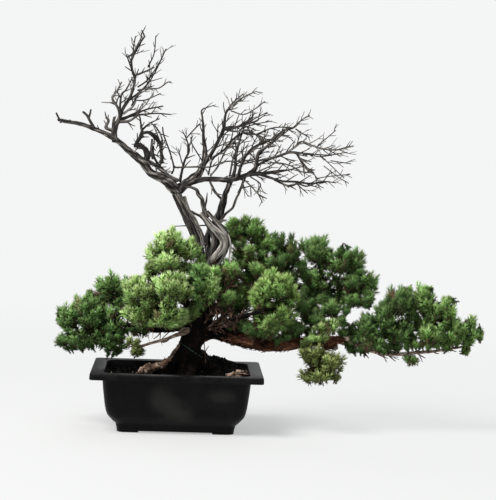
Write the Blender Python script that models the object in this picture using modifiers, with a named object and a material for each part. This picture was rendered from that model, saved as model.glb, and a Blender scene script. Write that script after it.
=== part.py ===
"""Juniper bonsai with deadwood, planted in a rectangular plastic training pot.

The tree is laid out about the middle of the pot's foot: +X to the tree's right, +Y to its back
and +Z up, with the floor at z = 0. Its parent empty then shifts the whole tree sideways, so that
the origin lies on the floor under the middle of the tree's own box.

The wood is round limbs, each a route of points (x, y, z, radius) in millimetres. The foliage is
closed pads, each a cluster of lobes (x, y, z, half width, half depth, half height) in millimetres.
"""
import math

import bmesh
import bpy
from mathutils import Vector, noise

NAME = "bonsai_tree_in_pot"
MM = 0.001
GAP = 0.4 * MM                 # clearance between neighbours that touch
TREE_MIDDLE = (140 * MM, -3 * MM)      # middle of the whole tree's box, seen from the pot's middle

# Pot: outer sizes, and the way its wall steps in below the rim
POT_WIDTH = 265 * MM
POT_DEPTH = 200 * MM
POT_HEIGHT = 94 * MM
POT_WALL = 2.4 * MM
POT_FLOOR = 5.5 * MM           # height of the inside floor
FLANGE_WIDTH = 18.2 * MM
FLANGE_HEIGHT = 9.2 * MM
FLANGE_PLATE = 3.0 * MM        # thickness of the flange's top and skirt
FOOT_HEIGHT = 2.4 * MM         # clearance of the arches between the four feet
FOOT_GAP_X = 57 * MM
FOOT_GAP_Y = 30 * MM
DRAIN_HOLE = (30 * MM, 18 * MM)
DRAIN_HOLE_X = 38 * MM

# Height and inset from the rim's edge along the outside of the wall, bottom to top (mm)
WALL_LINE = [(13, 39.5), (20, 33.0), (28, 27.0), (36, 24.5), (48, 22.5), (66, 20.3), (83, 18.7)]
FOOT_LINE = [(0, 42.3), (7, 41.5)]
BODY_CORNER = 17 * MM
RIM_CORNER = 7 * MM
FOOT_CORNER = 12 * MM
FLOOR_CORNER = 9 * MM

# Drainage mesh: a screen over each hole, under the soil
MESH_SIZE = (38 * MM, 26 * MM, 1.2 * MM)
MESH_HOLES = (4, 3)
MESH_HOLE_SHARE = 0.68         # how much of the grid's pitch is open

# Soil: level at the pot's wall, and the mound of the root ball round the trunk
SOIL_EDGE = 84 * MM
SOIL_MOUND = 27 * MM
SOIL_MOUND_AT = Vector((56 * MM, 20 * MM))
SOIL_MOUND_SPREAD = (50 * MM, 44 * MM)

TRUNK = [(14, 0, 72, 31), (16, 0, 95, 27), (17, 0, 112, 23), (21, 0, 124, 20.5),
         (25, 0, 137, 19), (30, 0, 149, 18), (35, 0, 163, 16.5), (38, 0, 183, 15),
         (42, 0, 205, 14), (46, 0, 222, 13.5)]
ROOTS = {
    "left_front": [(22, -4, 128, 14), (9, -14, 122, 11), (-1, -22, 112, 10), (-9, -30, 103, 9.5),
                   (-22, -36, 98, 9), (-38, -40, 97, 8.5), (-54, -43, 94, 7.5),
                   (-68, -46, 85, 4)],
    "left_back": [(24, 4, 120, 14), (4, 18, 104, 11), (-18, 34, 95, 8), (-38, 46, 84, 6)],
    "front": [(22, -8, 116, 13), (20, -30, 102, 10), (16, -48, 92, 7), (13, -60, 82, 5)],
    "right": [(30, 0, 112, 13), (48, -6, 98, 10), (66, -8, 90, 8), (84, -8, 80, 6)],
    "right_back": [(32, 6, 112, 13), (50, 26, 98, 10), (66, 44, 90, 7), (78, 58, 80, 5)],
}

# Living limbs, each from the trunk or its parent limb outwards
LIVE_LIMBS = {
    "limb_right": [[(34, 0, 150, 14), (53, -2, 153, 11.5), (75, -6, 149, 11),
                    (96, -12, 144, 11.5), (121, -18, 140, 11), (152, -22, 137, 10),
                    (186, -24, 141, 8.5), (217, -22, 147, 7.5), (239, -20, 147, 6.5),
                    (255, -18, 148, 6)]],
    "limb_right_tip": [[(238, -20, 147, 5.4), (260, -14, 150, 5.3), (278, -10, 140, 5.1),
                        (298, -8, 132, 4.8), (320, -6, 127, 4.4), (345, -4, 126, 4.2),
                        (374, -2, 129, 3.8), (403, 0, 132, 3.2), (431, 2, 137, 2.6),
                        (454, 4, 141, 2)]],
    "limb_drop": [[(217, -22, 145, 4), (226, -30, 133, 3), (218, -34, 114, 2.2),
                   (212, -36, 102, 1.6)]],
    "limb_left": [[(32, 3, 158, 8), (16, 4, 161, 7.5), (-4, 4, 157, 6.5), (-24, 2, 154, 5.6),
                   (-46, 0, 153, 5), (-68, -2, 156, 4.4), (-88, -2, 162, 3.6),
                   (-103, -2, 174, 2.8), (-116, 0, 186, 2)]],
    "branch_left_low": [[(22, -5, 153, 4.2), (3, -12, 149, 3.6), (-7, -18, 146, 2.8),
                         (-20, -24, 141, 2.4), (-40, -30, 136, 2.2), (-56, -34, 131, 2),
                         (-70, -36, 128, 1.6)]],
    "limb_back": [[(38, 8, 170, 8.5), (62, 30, 188, 7.5), (96, 50, 202, 6.6),
                   (131, 60, 215, 5.8), (170, 60, 221, 5), (205, 54, 221, 4.2),
                   (239, 48, 219, 3.4), (271, 44, 221, 2.4)]],
    "limb_back_leader": [[(90, 46, 199, 4.4), (102, 60, 224, 3.6), (108, 68, 252, 2.8),
                          (104, 70, 281, 2)]],
    "limb_front": [[(42, -8, 165, 5.5), (70, -26, 173, 5), (96, -40, 182, 4.6),
                    (122, -52, 191, 4.2), (142, -58, 198, 3.4)]],
    "limb_left_up": [[(36, -10, 167, 6.5), (24, -30, 184, 5.6), (8, -44, 202, 5),
                      (-9, -50, 221, 4.2), (-22, -46, 248, 3.4), (-20, -38, 278, 2.4)]],
}

# Deadwood: the two bare stems, and the dead limbs and twigs that they carry
DEAD_LIMBS = {
    "deadwood_twisted": [[(45, 0, 216, 13), (48, 0, 240, 13), (53, 0, 264, 14.5),
                          (58, 3, 287, 16.5), (56, 4, 303, 14.5), (49, 3, 316, 11.5),
                          (41, 0, 329, 8.5), (34, -2, 340, 6)]],
    "deadwood_left": [[(49, 11, 236, 7), (36, 18, 276, 8), (23, 18, 301, 9), (11, 16, 324, 9.5),
                       (0, 13, 346, 9), (-7, 10, 361, 8.8), (-11, 8, 375, 7.5)],
                      [(8, 12, 343, 1.6), (20, 4, 336, 1.5), (31, 1, 331, 1.8)]],
    "deadwood_riser": [[(54, 7, 326, 6), (60, 6, 341, 6), (64, 4, 358, 4.8), (68, 1, 374, 4.6),
                        (75, -5, 389, 4.2)]],
    "deadwood_strand": [[(58, 2, 325, 2), (68, -6, 338, 1.9), (78, -12, 348, 2),
                         (83, -14, 362, 1.9), (89, -13, 376, 1.8), (94, -11, 392, 1.6)]],
    "deadwood_snag": [[(36, -3, 335, 5), (32, -5, 351, 3.4), (30, -6, 360, 3.2),
                       (24, -6, 367, 3.2), (22, -3, 373, 2.6), (13, 3, 376, 2.1),
                       (3, 9, 377, 2)],
                      [(34, -4, 343, 2.2), (37, -10, 357, 1.5), (38, -12, 370, 0.8)]],
    "dead_leader": [[(-11, 8, 373, 7.5), (-23, 5, 384, 7), (-39, 0, 392, 6.3),
                     (-52, -5, 399, 5.6), (-63, -10, 413, 5), (-74, -15, 423, 4.4),
                     (-89, -20, 435, 4), (-106, -25, 448, 3.6), (-123, -30, 457, 3),
                     (-137, -33, 464, 2.6), (-160, -38, 471, 2.2), (-181, -42, 474, 2),
                     (-190, -44, 478, 1.6), (-196, -45, 485, 0.9)]],
    "dead_spray_left": [[(-106, -25, 446, 3.4), (-108, -24, 461, 3.2), (-106, -23, 471, 3),
                         (-101, -22, 479, 3), (-96, -20, 495, 2.6), (-87, -20, 510, 2.4),
                         (-81, -22, 526, 2.2), (-79, -24, 541, 2.1), (-82, -26, 552, 1.9),
                         (-87, -28, 564, 1.3), (-92, -30, 576, 0.9), (-95, -30, 582, 0.6)],
                        [(-98, -22, 484, 2), (-105, -30, 499, 1.9), (-112, -35, 509, 1.6),
                         (-106, -40, 520, 1.3), (-99, -45, 535, 0.7)],
                        [(-82, -25, 548, 1.6), (-84, -32, 570, 1.3), (-78, -36, 588, 1.2),
                         (-71, -40, 603, 0.9), (-69, -42, 614, 0.6)]],
    "dead_spray_left_inner": [[(-101, -22, 478, 2.4), (-88, -16, 483, 2.2), (-74, -10, 489, 1.7),
                               (-59, -5, 496, 1.2), (-36, 0, 502, 0.7)]],
    "dead_spray_left_upper": [[(-87, -20, 510, 1.8), (-74, -14, 519, 1.6), (-59, -10, 535, 1.3),
                               (-50, -8, 550, 1.1), (-41, -6, 569, 0.8), (-32, -5, 590, 0.5)]],
    "dead_spray_middle": [[(-61, -10, 414, 3), (-58, -6, 430, 3), (-65, -4, 439, 2.8),
                           (-74, -6, 438, 2.4), (-70, -8, 450, 2), (-66, -6, 462, 1.8),
                           (-61, -5, 468, 1.4), (-52, -2, 476, 1), (-40, 0, 481, 0.6)]],
    "dead_loop_middle": [[(-60, -10, 414, 2.2), (-43, -2, 410, 2.2), (-32, 3, 401, 2.5),
                          (-19, 7, 386, 2.8)],
                         [(-37, 1, 405, 1.4), (-34, 4, 426, 1.6), (-38, 8, 446, 1.3),
                          (-45, 12, 463, 1), (-51, 15, 475, 0.6)]],
    "dead_limb_upright": [[(-7, 10, 371, 7), (3, 15, 382, 6.5), (15, 20, 391, 6),
                           (26, 24, 401, 5), (32, 26, 417, 4.4), (33, 28, 436, 3.6),
                           (30, 30, 454, 2.6), (29, 32, 473, 2), (27, 33, 487, 1.6),
                           (26, 34, 498, 1.3), (36, 35, 503, 1), (48, 36, 507, 0.6)],
                          [(-5, 14, 385, 2.4), (-2, 18, 403, 2), (2, 21, 419, 1.8),
                           (8, 24, 435, 1.7), (3, 26, 452, 1.2), (-4, 28, 466, 0.9)]],
    "dead_limb_level": [[(3, 12, 378, 5.5), (14, 8, 385, 4.8), (31, 3, 390, 4.2), (51, -2, 391, 4),
                         (70, -6, 391, 4.2), (85, -10, 394, 4), (100, -12, 400, 3.6),
                         (116, -14, 402, 3.2), (131, -16, 404, 2.6), (149, -18, 408, 1.7),
                         (168, -20, 410, 1)],
                        [(122, -15, 401, 2.4), (137, -20, 396, 2), (153, -24, 392, 1.8),
                         (174, -28, 392, 1.6), (192, -32, 390, 1.5), (211, -35, 392, 1.4),
                         (223, -38, 394, 1.2), (235, -40, 392, 0.6)]],
    "dead_crown_left": [[(32, 26, 413, 3.4), (39, 21, 423, 3.2), (47, 16, 438, 3),
                         (55, 13, 455, 2.8), (61, 10, 471, 2.8), (62, 8, 487, 2),
                         (65, 6, 497, 1.6), (77, 3, 510, 1.3), (93, 0, 522, 0.9),
                         (109, -2, 530, 0.5)],
                        [(61, 10, 470, 2.4), (75, 6, 471, 2.2), (92, 2, 477, 1.8),
                         (109, -2, 483, 1.3), (127, -5, 496, 0.5)]],
    "dead_crown_back": [[(34, 24, 419, 2.4), (47, 30, 425, 2), (63, 36, 437, 1.7),
                         (77, 40, 454, 1.6), (92, 44, 464, 1.5), (113, 48, 463, 1.2),
                         (132, 50, 455, 0.9), (152, 52, 452, 0.5)]],
    "dead_crown_middle": [[(76, -7, 391, 3), (80, -2, 408, 2.6), (81, 2, 425, 2.2),
                           (84, 6, 444, 1.8), (89, 8, 463, 1.5), (95, 10, 478, 1.1),
                           (107, 12, 494, 0.6)]],
    "dead_crown_front": [[(85, -10, 395, 2.6), (89, -22, 415, 2.2), (101, -30, 437, 2),
                          (119, -36, 450, 1.8), (136, -40, 457, 1.7), (150, -44, 469, 1.6),
                          (167, -48, 475, 1.3), (178, -50, 487, 1), (189, -51, 495, 0.6)]],
    "dead_crown_fork": [[(103, -12, 400, 3.4), (112, -8, 411, 3.4), (114, -5, 425, 2.8),
                         (118, -6, 437, 2.4), (130, -10, 446, 2), (143, -15, 457, 1.6),
                         (159, -20, 470, 1)]],
    "dead_crown_right": [[(113, -7, 414, 2.4), (131, -6, 424, 2), (149, -9, 431, 1.9),
                          (166, -13, 437, 1.7), (184, -18, 436, 1.4), (204, -23, 435, 1.2),
                          (225, -28, 435, 0.9), (252, -31, 440, 0.5)]],
    "dead_crown_far_right": [[(161, -12, 436, 1.5), (171, -22, 446, 1.4), (181, -29, 454, 1.3),
                              (198, -34, 448, 1.4), (213, -37, 444, 1.3), (231, -40, 443, 1),
                              (254, -43, 450, 0.5)]],
    "dead_twig_cross": [[(-14, 30, 314, 0.9), (13, 30, 316, 1), (38, 16, 318, 1.1),
                         (49, 6, 321, 1.2)]],
}

# Foliage pads, from the left end of the tree to the right
PADS = {
    "foliage_left_outer": [(-174, -20, 169, 20, 22, 20), (-143, -10, 179, 33, 35, 33),
                           (-159, -25, 136, 28, 25, 12), (-110, 0, 158, 31, 35, 34),
                           (-103, -10, 131, 31, 25, 14)],
    "foliage_left_back": [(-101, 35, 224, 14, 20, 20), (-116, 32, 216, 19, 25, 22),
                          (-95, 40, 194, 22, 30, 22)],
    "foliage_left_front": [(-61, -50, 219, 31, 35, 28), (-12, -65, 225, 33, 45, 30),
                           (-63, -48, 182, 28, 30, 26), (-14, -56, 184, 33, 38, 28)],
    "foliage_left_inner": [(28, -32, 242, 23, 33, 28), (30, -36, 204, 18, 28, 20)],
    "foliage_left_top": [(-17, -30, 296, 28, 35, 22), (-24, -45, 263, 31, 40, 24),
                         (-46, -25, 272, 14, 25, 19), (13, -18, 281, 23, 30, 19)],
    "foliage_sprig_left": [(-69, -38, 125, 12, 12, 17), (-72, -37, 138, 14, 14, 10)],
    "foliage_trunk_side": [(75, 32, 248, 22, 30, 22), (71, 30, 222, 26, 28, 17)],
    "foliage_crown_left": [(81, 36, 311, 16, 25, 22), (105, 50, 314, 25, 35, 24),
                           (132, 50, 290, 24, 30, 24)],
    "foliage_crown_middle": [(152, 60, 288, 22, 30, 24), (174, 60, 280, 19, 35, 29),
                             (168, 65, 238, 29, 35, 32)],
    "foliage_crown_inner": [(95, 42, 276, 20, 24, 18), (120, 46, 262, 22, 24, 18),
                            (110, 40, 236, 24, 24, 18)],
    "foliage_crown_right": [(213, 45, 283, 27, 40, 28), (253, 40, 265, 28, 40, 25),
                            (278, 35, 266, 19, 30, 25), (298, 35, 235, 22, 30, 22),
                            (215, 50, 227, 29, 35, 35), (279, 40, 218, 25, 25, 16),
                            (256, 50, 200, 22, 20, 12), (258, 46, 234, 20, 20, 16)],
    "foliage_centre_front": [(146, -45, 233, 31, 40, 26), (170, -40, 217, 21, 30, 21),
                             (128, -35, 208, 25, 35, 28), (156, -45, 187, 31, 35, 24),
                             (144, -45, 168, 28, 30, 14)],
    "foliage_centre_back": [(210, 18, 182, 22, 30, 22)],
    "foliage_centre_inner": [(96, 6, 200, 24, 26, 20), (76, 6, 186, 20, 22, 14)],
    "foliage_tuft": [(227, -35, 166, 29, 22, 11), (245, -32, 177, 12, 18, 12)],
    "foliage_drop": [(207, -40, 130, 20, 25, 18), (239, -35, 115, 23, 30, 20),
                     (218, -35, 94, 26, 30, 18), (194, -35, 93, 11, 15, 9)],
    "foliage_right_inner": [(294, 0, 166, 22, 35, 28), (324, 5, 186, 23, 40, 28),
                            (303, -15, 140, 26, 30, 13), (346, 0, 211, 22, 40, 26),
                            (351, 0, 161, 25, 40, 25)],
    "foliage_right_outer": [(381, 5, 212, 19, 35, 28), (400, 3, 200, 16, 30, 23),
                            (422, 0, 190, 16, 30, 31), (394, -5, 163, 28, 40, 22),
                            (439, 0, 170, 22, 30, 20), (464, 0, 180, 9, 15, 19),
                            (463, 0, 161, 16, 18, 9), (456, -3, 142, 11, 16, 16)],
    "foliage_sprig_right": [(369, -10, 116, 16, 16, 9)],
}

# How finely the wood and the pads are modelled, and how lumpy they are
THICK_LIMB = 5                 # radius above which a limb is made rounder (mm)
TRUNK_VOXEL = 3 * MM
TRUNK_BUMP = 3 * MM
TRUNK_BUMP_SIZE = 17 * MM
TRUNK_ROUGH_TRIANGLES = 6000
TRUNK_TRIANGLES = 1100
PAD_VOXEL = 5 * MM
PAD_ROUGH_TRIANGLES = 20000
PAD_TRIANGLES_PER_LOBE = 42
PAD_BUMP = 3.5 * MM            # how far the pads' surface swells and dips
PAD_BUMP_SIZE = 26 * MM

# A thin tie wire crosses the front of the trunk; a bit of bark lies on the soil at the right
TIE_WIRE = [(3, -10, 135, 0.7), (8, -19, 130, 0.7), (16, -25, 126, 0.7), (25, -28, 121, 0.7),
            (36, -27, 115, 0.7), (44, -22, 111, 0.7), (48, -14, 108, 0.7)]
BARK_BITS = {"bark_bit_front": (82, -60, 88, 16, 8, 6), "bark_bit_back": (98, -36, 89, 11, 8, 6)}

MATERIALS = {  # colour, roughness
    "pot_plastic": ((0.018, 0.018, 0.020), 0.45),
    "mesh_plastic": ((0.020, 0.030, 0.022), 0.50),
    "soil": ((0.020, 0.014, 0.010), 0.95),
    "bark": ((0.075, 0.038, 0.026), 0.90),
    "deadwood": ((0.230, 0.205, 0.185), 0.85),
    "foliage": ((0.085, 0.170, 0.045), 0.70),
    "wire": ((0.050, 0.140, 0.070), 0.40),
}


def clear_scene():
    for obj in list(bpy.data.objects):
        bpy.data.objects.remove(obj, do_unlink=True)


def make_collection(name):
    collection = bpy.data.collections.new(name)
    bpy.context.scene.collection.children.link(collection)
    return collection


def make_material(name, colour, roughness):
    material = bpy.data.materials.new(name)
    material.use_nodes = True
    shader = material.node_tree.nodes["Principled BSDF"]
    shader.inputs["Base Color"].default_value = (*colour, 1.0)
    shader.inputs["Roughness"].default_value = roughness
    shader.inputs["Metallic"].default_value = 0.0
    return material


def add_object(name, mesh, collection):
    obj = bpy.data.objects.new(name, mesh)
    collection.objects.link(obj)
    return obj


def evaluated_mesh(obj):
    """The object's mesh with its modifiers or its curve settings applied, seams welded."""
    bpy.context.view_layer.update()
    graph = bpy.context.evaluated_depsgraph_get()
    mesh = bpy.data.meshes.new_from_object(obj.evaluated_get(graph))
    soft = bmesh.new()
    soft.from_mesh(mesh)
    bmesh.ops.remove_doubles(soft, verts=soft.verts, dist=0.01 * MM)
    bmesh.ops.dissolve_degenerate(soft, edges=soft.edges, dist=0.01 * MM)
    soft.to_mesh(mesh)
    soft.free()
    return mesh


def bake(obj):
    """Replace the object's mesh by its evaluated one, and drop its modifiers."""
    mesh = evaluated_mesh(obj)
    obj.modifiers.clear()
    old = obj.data
    obj.data = mesh
    bpy.data.meshes.remove(old)


def boolean(obj, other, operation):
    modifier = obj.modifiers.new(operation.lower(), "BOOLEAN")
    modifier.operation = operation
    modifier.solver = "EXACT"
    modifier.object = other
    bake(obj)


def discard(obj):
    mesh = obj.data
    bpy.data.objects.remove(obj, do_unlink=True)
    bpy.data.meshes.remove(mesh)


def keep_largest_body(obj):
    """A limb or pad that its neighbours cut apart keeps only its biggest piece."""
    work = bmesh.new()
    work.from_mesh(obj.data)
    unseen = set(work.verts)
    bodies = []
    while unseen:
        stack = [unseen.pop()]
        body = set(stack)
        while stack:
            for edge in stack.pop().link_edges:
                for vert in edge.verts:
                    if vert in unseen:
                        unseen.discard(vert)
                        body.add(vert)
                        stack.append(vert)
        bodies.append(body)
    bodies.sort(key=len)
    loose = [vert for body in bodies[:-1] for vert in body]
    bmesh.ops.delete(work, geom=loose, context="VERTS")
    work.to_mesh(obj.data)
    work.free()


def smooth_route(points, steps):
    """Points on a Catmull-Rom curve through a route, with the radius following along."""
    line = [Vector(point) for point in points]
    ends = [2 * line[0] - line[1]] + line + [2 * line[-1] - line[-2]]
    smooth = []
    for before, start, end, after in zip(ends, ends[1:], ends[2:], ends[3:]):
        for step in range(steps):
            t = step / steps
            smooth.append(0.5 * (2 * start + (end - before) * t
                                 + (2 * before - 5 * start + 4 * end - after) * t ** 2
                                 + (3 * start - before - 3 * end + after) * t ** 3))
    smooth.append(line[-1])
    return smooth


def make_tube(name, points, collection, bevel_resolution, steps):
    """A limb: a curve through its route, thick as its radius says, made a closed mesh."""
    curve = bpy.data.curves.new(name, "CURVE")
    curve.dimensions = "3D"
    curve.bevel_depth = MM
    curve.bevel_resolution = bevel_resolution
    curve.use_fill_caps = True
    route = smooth_route(points, steps)
    spline = curve.splines.new("POLY")
    spline.points.add(len(route) - 1)
    for point, (x, y, z, radius) in zip(spline.points, route):
        point.co = (x * MM, y * MM, z * MM, 1.0)
        point.radius = max(radius, 0.5)
    guide = add_object(name + "_route", curve, collection)
    mesh = evaluated_mesh(guide)
    mesh.name = name
    bpy.data.objects.remove(guide)
    bpy.data.curves.remove(curve)
    return add_object(name, mesh, collection)


def make_limb(name, routes, collection):
    """A limb and its side shoots, joined into one body; thick limbs are rounder than thin ones."""
    thick = max(point[3] for point in routes[0]) > THICK_LIMB
    limb = make_tube(name, routes[0], collection, *((2, 2) if thick else (1, 1)))
    for index, route in enumerate(routes[1:]):
        shoot = make_tube(f"{name}_shoot_{index}", route, collection, 1, 1)
        boolean(limb, shoot, "UNION")
        discard(shoot)
    return limb


def swell(obj, amount, size):
    """Push the surface in and out by smooth noise, for a lumpy natural form."""
    for vert, normal in zip(obj.data.vertices, [v.normal.copy() for v in obj.data.vertices]):
        vert.co += normal * amount * noise.noise(vert.co / size)


def remesh(obj, voxel, triangles):
    """One closed skin round everything in the object, thinned to a number of triangles."""
    modifier = obj.modifiers.new("skin", "REMESH")
    modifier.mode = "VOXEL"
    modifier.voxel_size = voxel
    bake(obj)
    full = sum(len(face.vertices) - 2 for face in obj.data.polygons)
    modifier = obj.modifiers.new("thin", "DECIMATE")
    modifier.ratio = min(1.0, triangles / full)
    modifier.use_collapse_triangulate = True
    bake(obj)


def join(target, others):
    work = bmesh.new()
    for obj in [target] + others:
        work.from_mesh(obj.data)
    work.to_mesh(target.data)
    work.free()
    for obj in others:
        discard(obj)


def make_trunk(collection):
    """The trunk with its root flare, one rough body."""
    trunk = make_tube("trunk", TRUNK, collection, bevel_resolution=4, steps=3)
    roots = [make_tube("root_" + name, route, collection, 2, 3) for name, route in ROOTS.items()]
    join(trunk, roots)
    remesh(trunk, TRUNK_VOXEL, TRUNK_ROUGH_TRIANGLES)
    swell(trunk, TRUNK_BUMP, TRUNK_BUMP_SIZE)
    remesh(trunk, TRUNK_VOXEL, TRUNK_TRIANGLES)
    return trunk


def make_pad(name, lobes, collection):
    """A pad of foliage: overlapping rounded lobes under one lumpy skin."""
    spheres = []
    for index, (x, y, z, half_x, half_y, half_z) in enumerate(lobes):
        work = bmesh.new()
        bmesh.ops.create_icosphere(work, subdivisions=3, radius=1.0)
        for vert in work.verts:
            vert.co = Vector((x + vert.co.x * half_x, y + vert.co.y * half_y,
                              z + vert.co.z * half_z)) * MM
        mesh = bpy.data.meshes.new(f"{name}_lobe_{index}")
        work.to_mesh(mesh)
        work.free()
        spheres.append(add_object(mesh.name, mesh, collection))
    pad = spheres[0]
    pad.name = name
    join(pad, spheres[1:])
    remesh(pad, PAD_VOXEL, PAD_ROUGH_TRIANGLES)
    swell(pad, PAD_BUMP, PAD_BUMP_SIZE)
    remesh(pad, PAD_VOXEL, PAD_TRIANGLES_PER_LOBE * (len(lobes) + 1))
    return pad


def rounded_rectangle(half_x, half_y, corner, z, corner_steps=4):
    """The points of a rectangle with round corners, counter-clockwise seen from above."""
    points = []
    for quarter, (sign_x, sign_y) in enumerate([(1, 1), (-1, 1), (-1, -1), (1, -1)]):
        for step in range(corner_steps + 1):
            angle = math.radians(90 * (quarter + step / corner_steps))
            points.append(Vector((sign_x * (half_x - corner) + corner * math.cos(angle),
                                  sign_y * (half_y - corner) + corner * math.sin(angle), z)))
    return points


def pot_ring(inset, z, corner):
    """A level outline of the pot, a given inset in from the rim's outer edge."""
    return rounded_rectangle(POT_WIDTH / 2 - inset, POT_DEPTH / 2 - inset, corner, z)


def wall_rings(offset):
    """The rings up the pot's wall, a given distance in from its outer face."""
    rings = []
    for height, inset in WALL_LINE:
        z = height * MM
        rings.append(pot_ring(inset * MM + offset, z, BODY_CORNER - offset))
    return rings


def loft(name, rings, collection):
    """A closed body through rings of points, each joined to the next, with both ends capped."""
    work = bmesh.new()
    rows = [[work.verts.new(point) for point in ring] for ring in rings]
    count = len(rows[0])
    for lower, upper in zip(rows, rows[1:]):
        for i in range(count):
            j = (i + 1) % count
            work.faces.new((lower[i], lower[j], upper[j], upper[i]))
    work.faces.new(list(reversed(rows[0])))
    work.faces.new(rows[-1])
    bmesh.ops.triangulate(work, faces=[face for face in work.faces if len(face.verts) > 4])
    bmesh.ops.recalc_face_normals(work, faces=work.faces)
    mesh = bpy.data.meshes.new(name)
    work.to_mesh(mesh)
    work.free()
    return add_object(name, mesh, collection)


def make_box(name, low, high, collection):
    work = bmesh.new()
    bmesh.ops.create_cube(work, size=1.0)
    low, high = Vector(low), Vector(high)
    for vert in work.verts:
        vert.co = (low + high) / 2 + vert.co * (high - low)
    mesh = bpy.data.meshes.new(name)
    work.to_mesh(mesh)
    work.free()
    return add_object(name, mesh, collection)


def make_pot(collection, cutters):
    """A thin moulded shell: foot, bellied wall, and a flat flange with a skirt turned down."""
    foot = POT_HEIGHT - FLANGE_HEIGHT
    edge = 1.0 * MM
    outside = [pot_ring(inset * MM, height * MM, FOOT_CORNER) for height, inset in FOOT_LINE]
    outside += wall_rings(0)
    flange = [pot_ring(FLANGE_WIDTH, POT_HEIGHT - FLANGE_PLATE, BODY_CORNER),
              pot_ring(FLANGE_PLATE, POT_HEIGHT - FLANGE_PLATE, RIM_CORNER - FLANGE_PLATE),
              pot_ring(FLANGE_PLATE - 0.2 * MM, foot, RIM_CORNER - FLANGE_PLATE),
              pot_ring(edge / 2, foot, RIM_CORNER - edge / 2),
              pot_ring(0, foot + edge, RIM_CORNER),
              pot_ring(0.4 * MM, POT_HEIGHT - edge, RIM_CORNER),
              pot_ring(edge + 0.4 * MM, POT_HEIGHT, RIM_CORNER),
              pot_ring(FLANGE_WIDTH + POT_WALL - edge, POT_HEIGHT, BODY_CORNER - POT_WALL),
              pot_ring(FLANGE_WIDTH + POT_WALL, POT_HEIGHT - edge, BODY_CORNER - POT_WALL)]
    inside = list(reversed(wall_rings(POT_WALL)))
    inside += [pot_ring(45.5 * MM, 8 * MM, FLOOR_CORNER),
               pot_ring(48.5 * MM, POT_FLOOR, FLOOR_CORNER)]
    pot = loft("pot", outside + flange + inside, collection)
    arches = [make_box("arch_front", (-FOOT_GAP_X, -POT_DEPTH, -1 * MM),
                       (FOOT_GAP_X, POT_DEPTH, FOOT_HEIGHT), cutters),
              make_box("arch_side", (-POT_WIDTH, -FOOT_GAP_Y, -1 * MM),
                       (POT_WIDTH, FOOT_GAP_Y, FOOT_HEIGHT), cutters)]
    hole_x, hole_y = DRAIN_HOLE
    drains = [make_box(f"drain_{side}", (side * DRAIN_HOLE_X - hole_x / 2, -hole_y / 2, -1 * MM),
                       (side * DRAIN_HOLE_X + hole_x / 2, hole_y / 2, 12 * MM), cutters)
              for side in (-1, 1)]
    for cutter in arches + drains:
        boolean(pot, cutter, "DIFFERENCE")
    return pot


def make_mesh_screen(name, centre_x, collection, cutters):
    """A plastic drainage screen: a thin plate with a grid of square holes."""
    size_x, size_y, thickness = MESH_SIZE
    low = POT_FLOOR + GAP
    screen = make_box(name, (centre_x - size_x / 2, -size_y / 2, low),
                      (centre_x + size_x / 2, size_y / 2, low + thickness), collection)
    count_x, count_y = MESH_HOLES
    share = MESH_HOLE_SHARE / 2
    pitch_x, pitch_y = size_x / (count_x + 0.5), size_y / (count_y + 0.5)
    for i in range(count_x):
        for j in range(count_y):
            x = centre_x + (i - (count_x - 1) / 2) * pitch_x
            y = (j - (count_y - 1) / 2) * pitch_y
            hole = make_box(f"{name}_hole", (x - pitch_x * share, y - pitch_y * share, 0),
                            (x + pitch_x * share, y + pitch_y * share, 20 * MM), cutters)
            boolean(screen, hole, "DIFFERENCE")
            discard(hole)
    return screen


def soil_height(point):
    """Level near the wall, mounded over the root ball, uneven like loose soil."""
    away = Vector(((point.x - SOIL_MOUND_AT.x) / SOIL_MOUND_SPREAD[0],
                   (point.y - SOIL_MOUND_AT.y) / SOIL_MOUND_SPREAD[1]))
    mound = SOIL_MOUND * math.exp(-away.length_squared)
    rough = 1.6 * MM * noise.noise(Vector((point.x, point.y, 0.0)) / (14 * MM))
    return SOIL_EDGE + mound + rough


def make_soil(collection):
    """The root ball and soil: it fills the pot to just under the rim."""
    space = POT_WALL + GAP + 0.1 * MM
    rings = [pot_ring(49 * MM, POT_FLOOR + GAP, FLOOR_CORNER),
             pot_ring(46 * MM, 8 * MM, FLOOR_CORNER)]
    rings += wall_rings(space)
    rim = rings[-1]
    centre = Vector((SOIL_MOUND_AT.x, SOIL_MOUND_AT.y, 0.0))
    for share in (0.97, 0.86, 0.72, 0.58, 0.44, 0.30, 0.16):
        ring = [centre + (point - centre) * share for point in rim]
        rings.append([Vector((point.x, point.y, soil_height(point))) for point in ring])
    return loft("soil", rings, collection)


def make_bark_bit(name, place, collection):
    x, y, z, half_x, half_y, half_z = place
    work = bmesh.new()
    bmesh.ops.create_icosphere(work, subdivisions=2, radius=1.0)
    for vert in work.verts:
        rough = 1.0 + 0.35 * noise.noise(vert.co * 1.7 + Vector((x, y, z)))
        vert.co = Vector((x + vert.co.x * half_x * rough, y + vert.co.y * half_y * rough,
                          z + vert.co.z * half_z * rough)) * MM
    mesh = bpy.data.meshes.new(name)
    work.to_mesh(mesh)
    work.free()
    return add_object(name, mesh, collection)


def inflated_copy(obj, collection):
    """The space that a piece needs: its own shape, with the gap added all round."""
    copy = add_object(obj.name + "_space", obj.data.copy(), collection)
    for vert, normal in zip(copy.data.vertices, [v.normal.copy() for v in obj.data.vertices]):
        vert.co += normal * GAP
    return copy


def mesh_box(obj):
    corners = [vert.co for vert in obj.data.vertices]
    return (Vector(tuple(min(c[i] for c in corners) for i in range(3))),
            Vector(tuple(max(c[i] for c in corners) for i in range(3))))


def boxes_meet(first, second):
    (low_a, high_a), (low_b, high_b) = mesh_box(first), mesh_box(second)
    return all(low_a[i] < high_b[i] and low_b[i] < high_a[i] for i in range(3))


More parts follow.
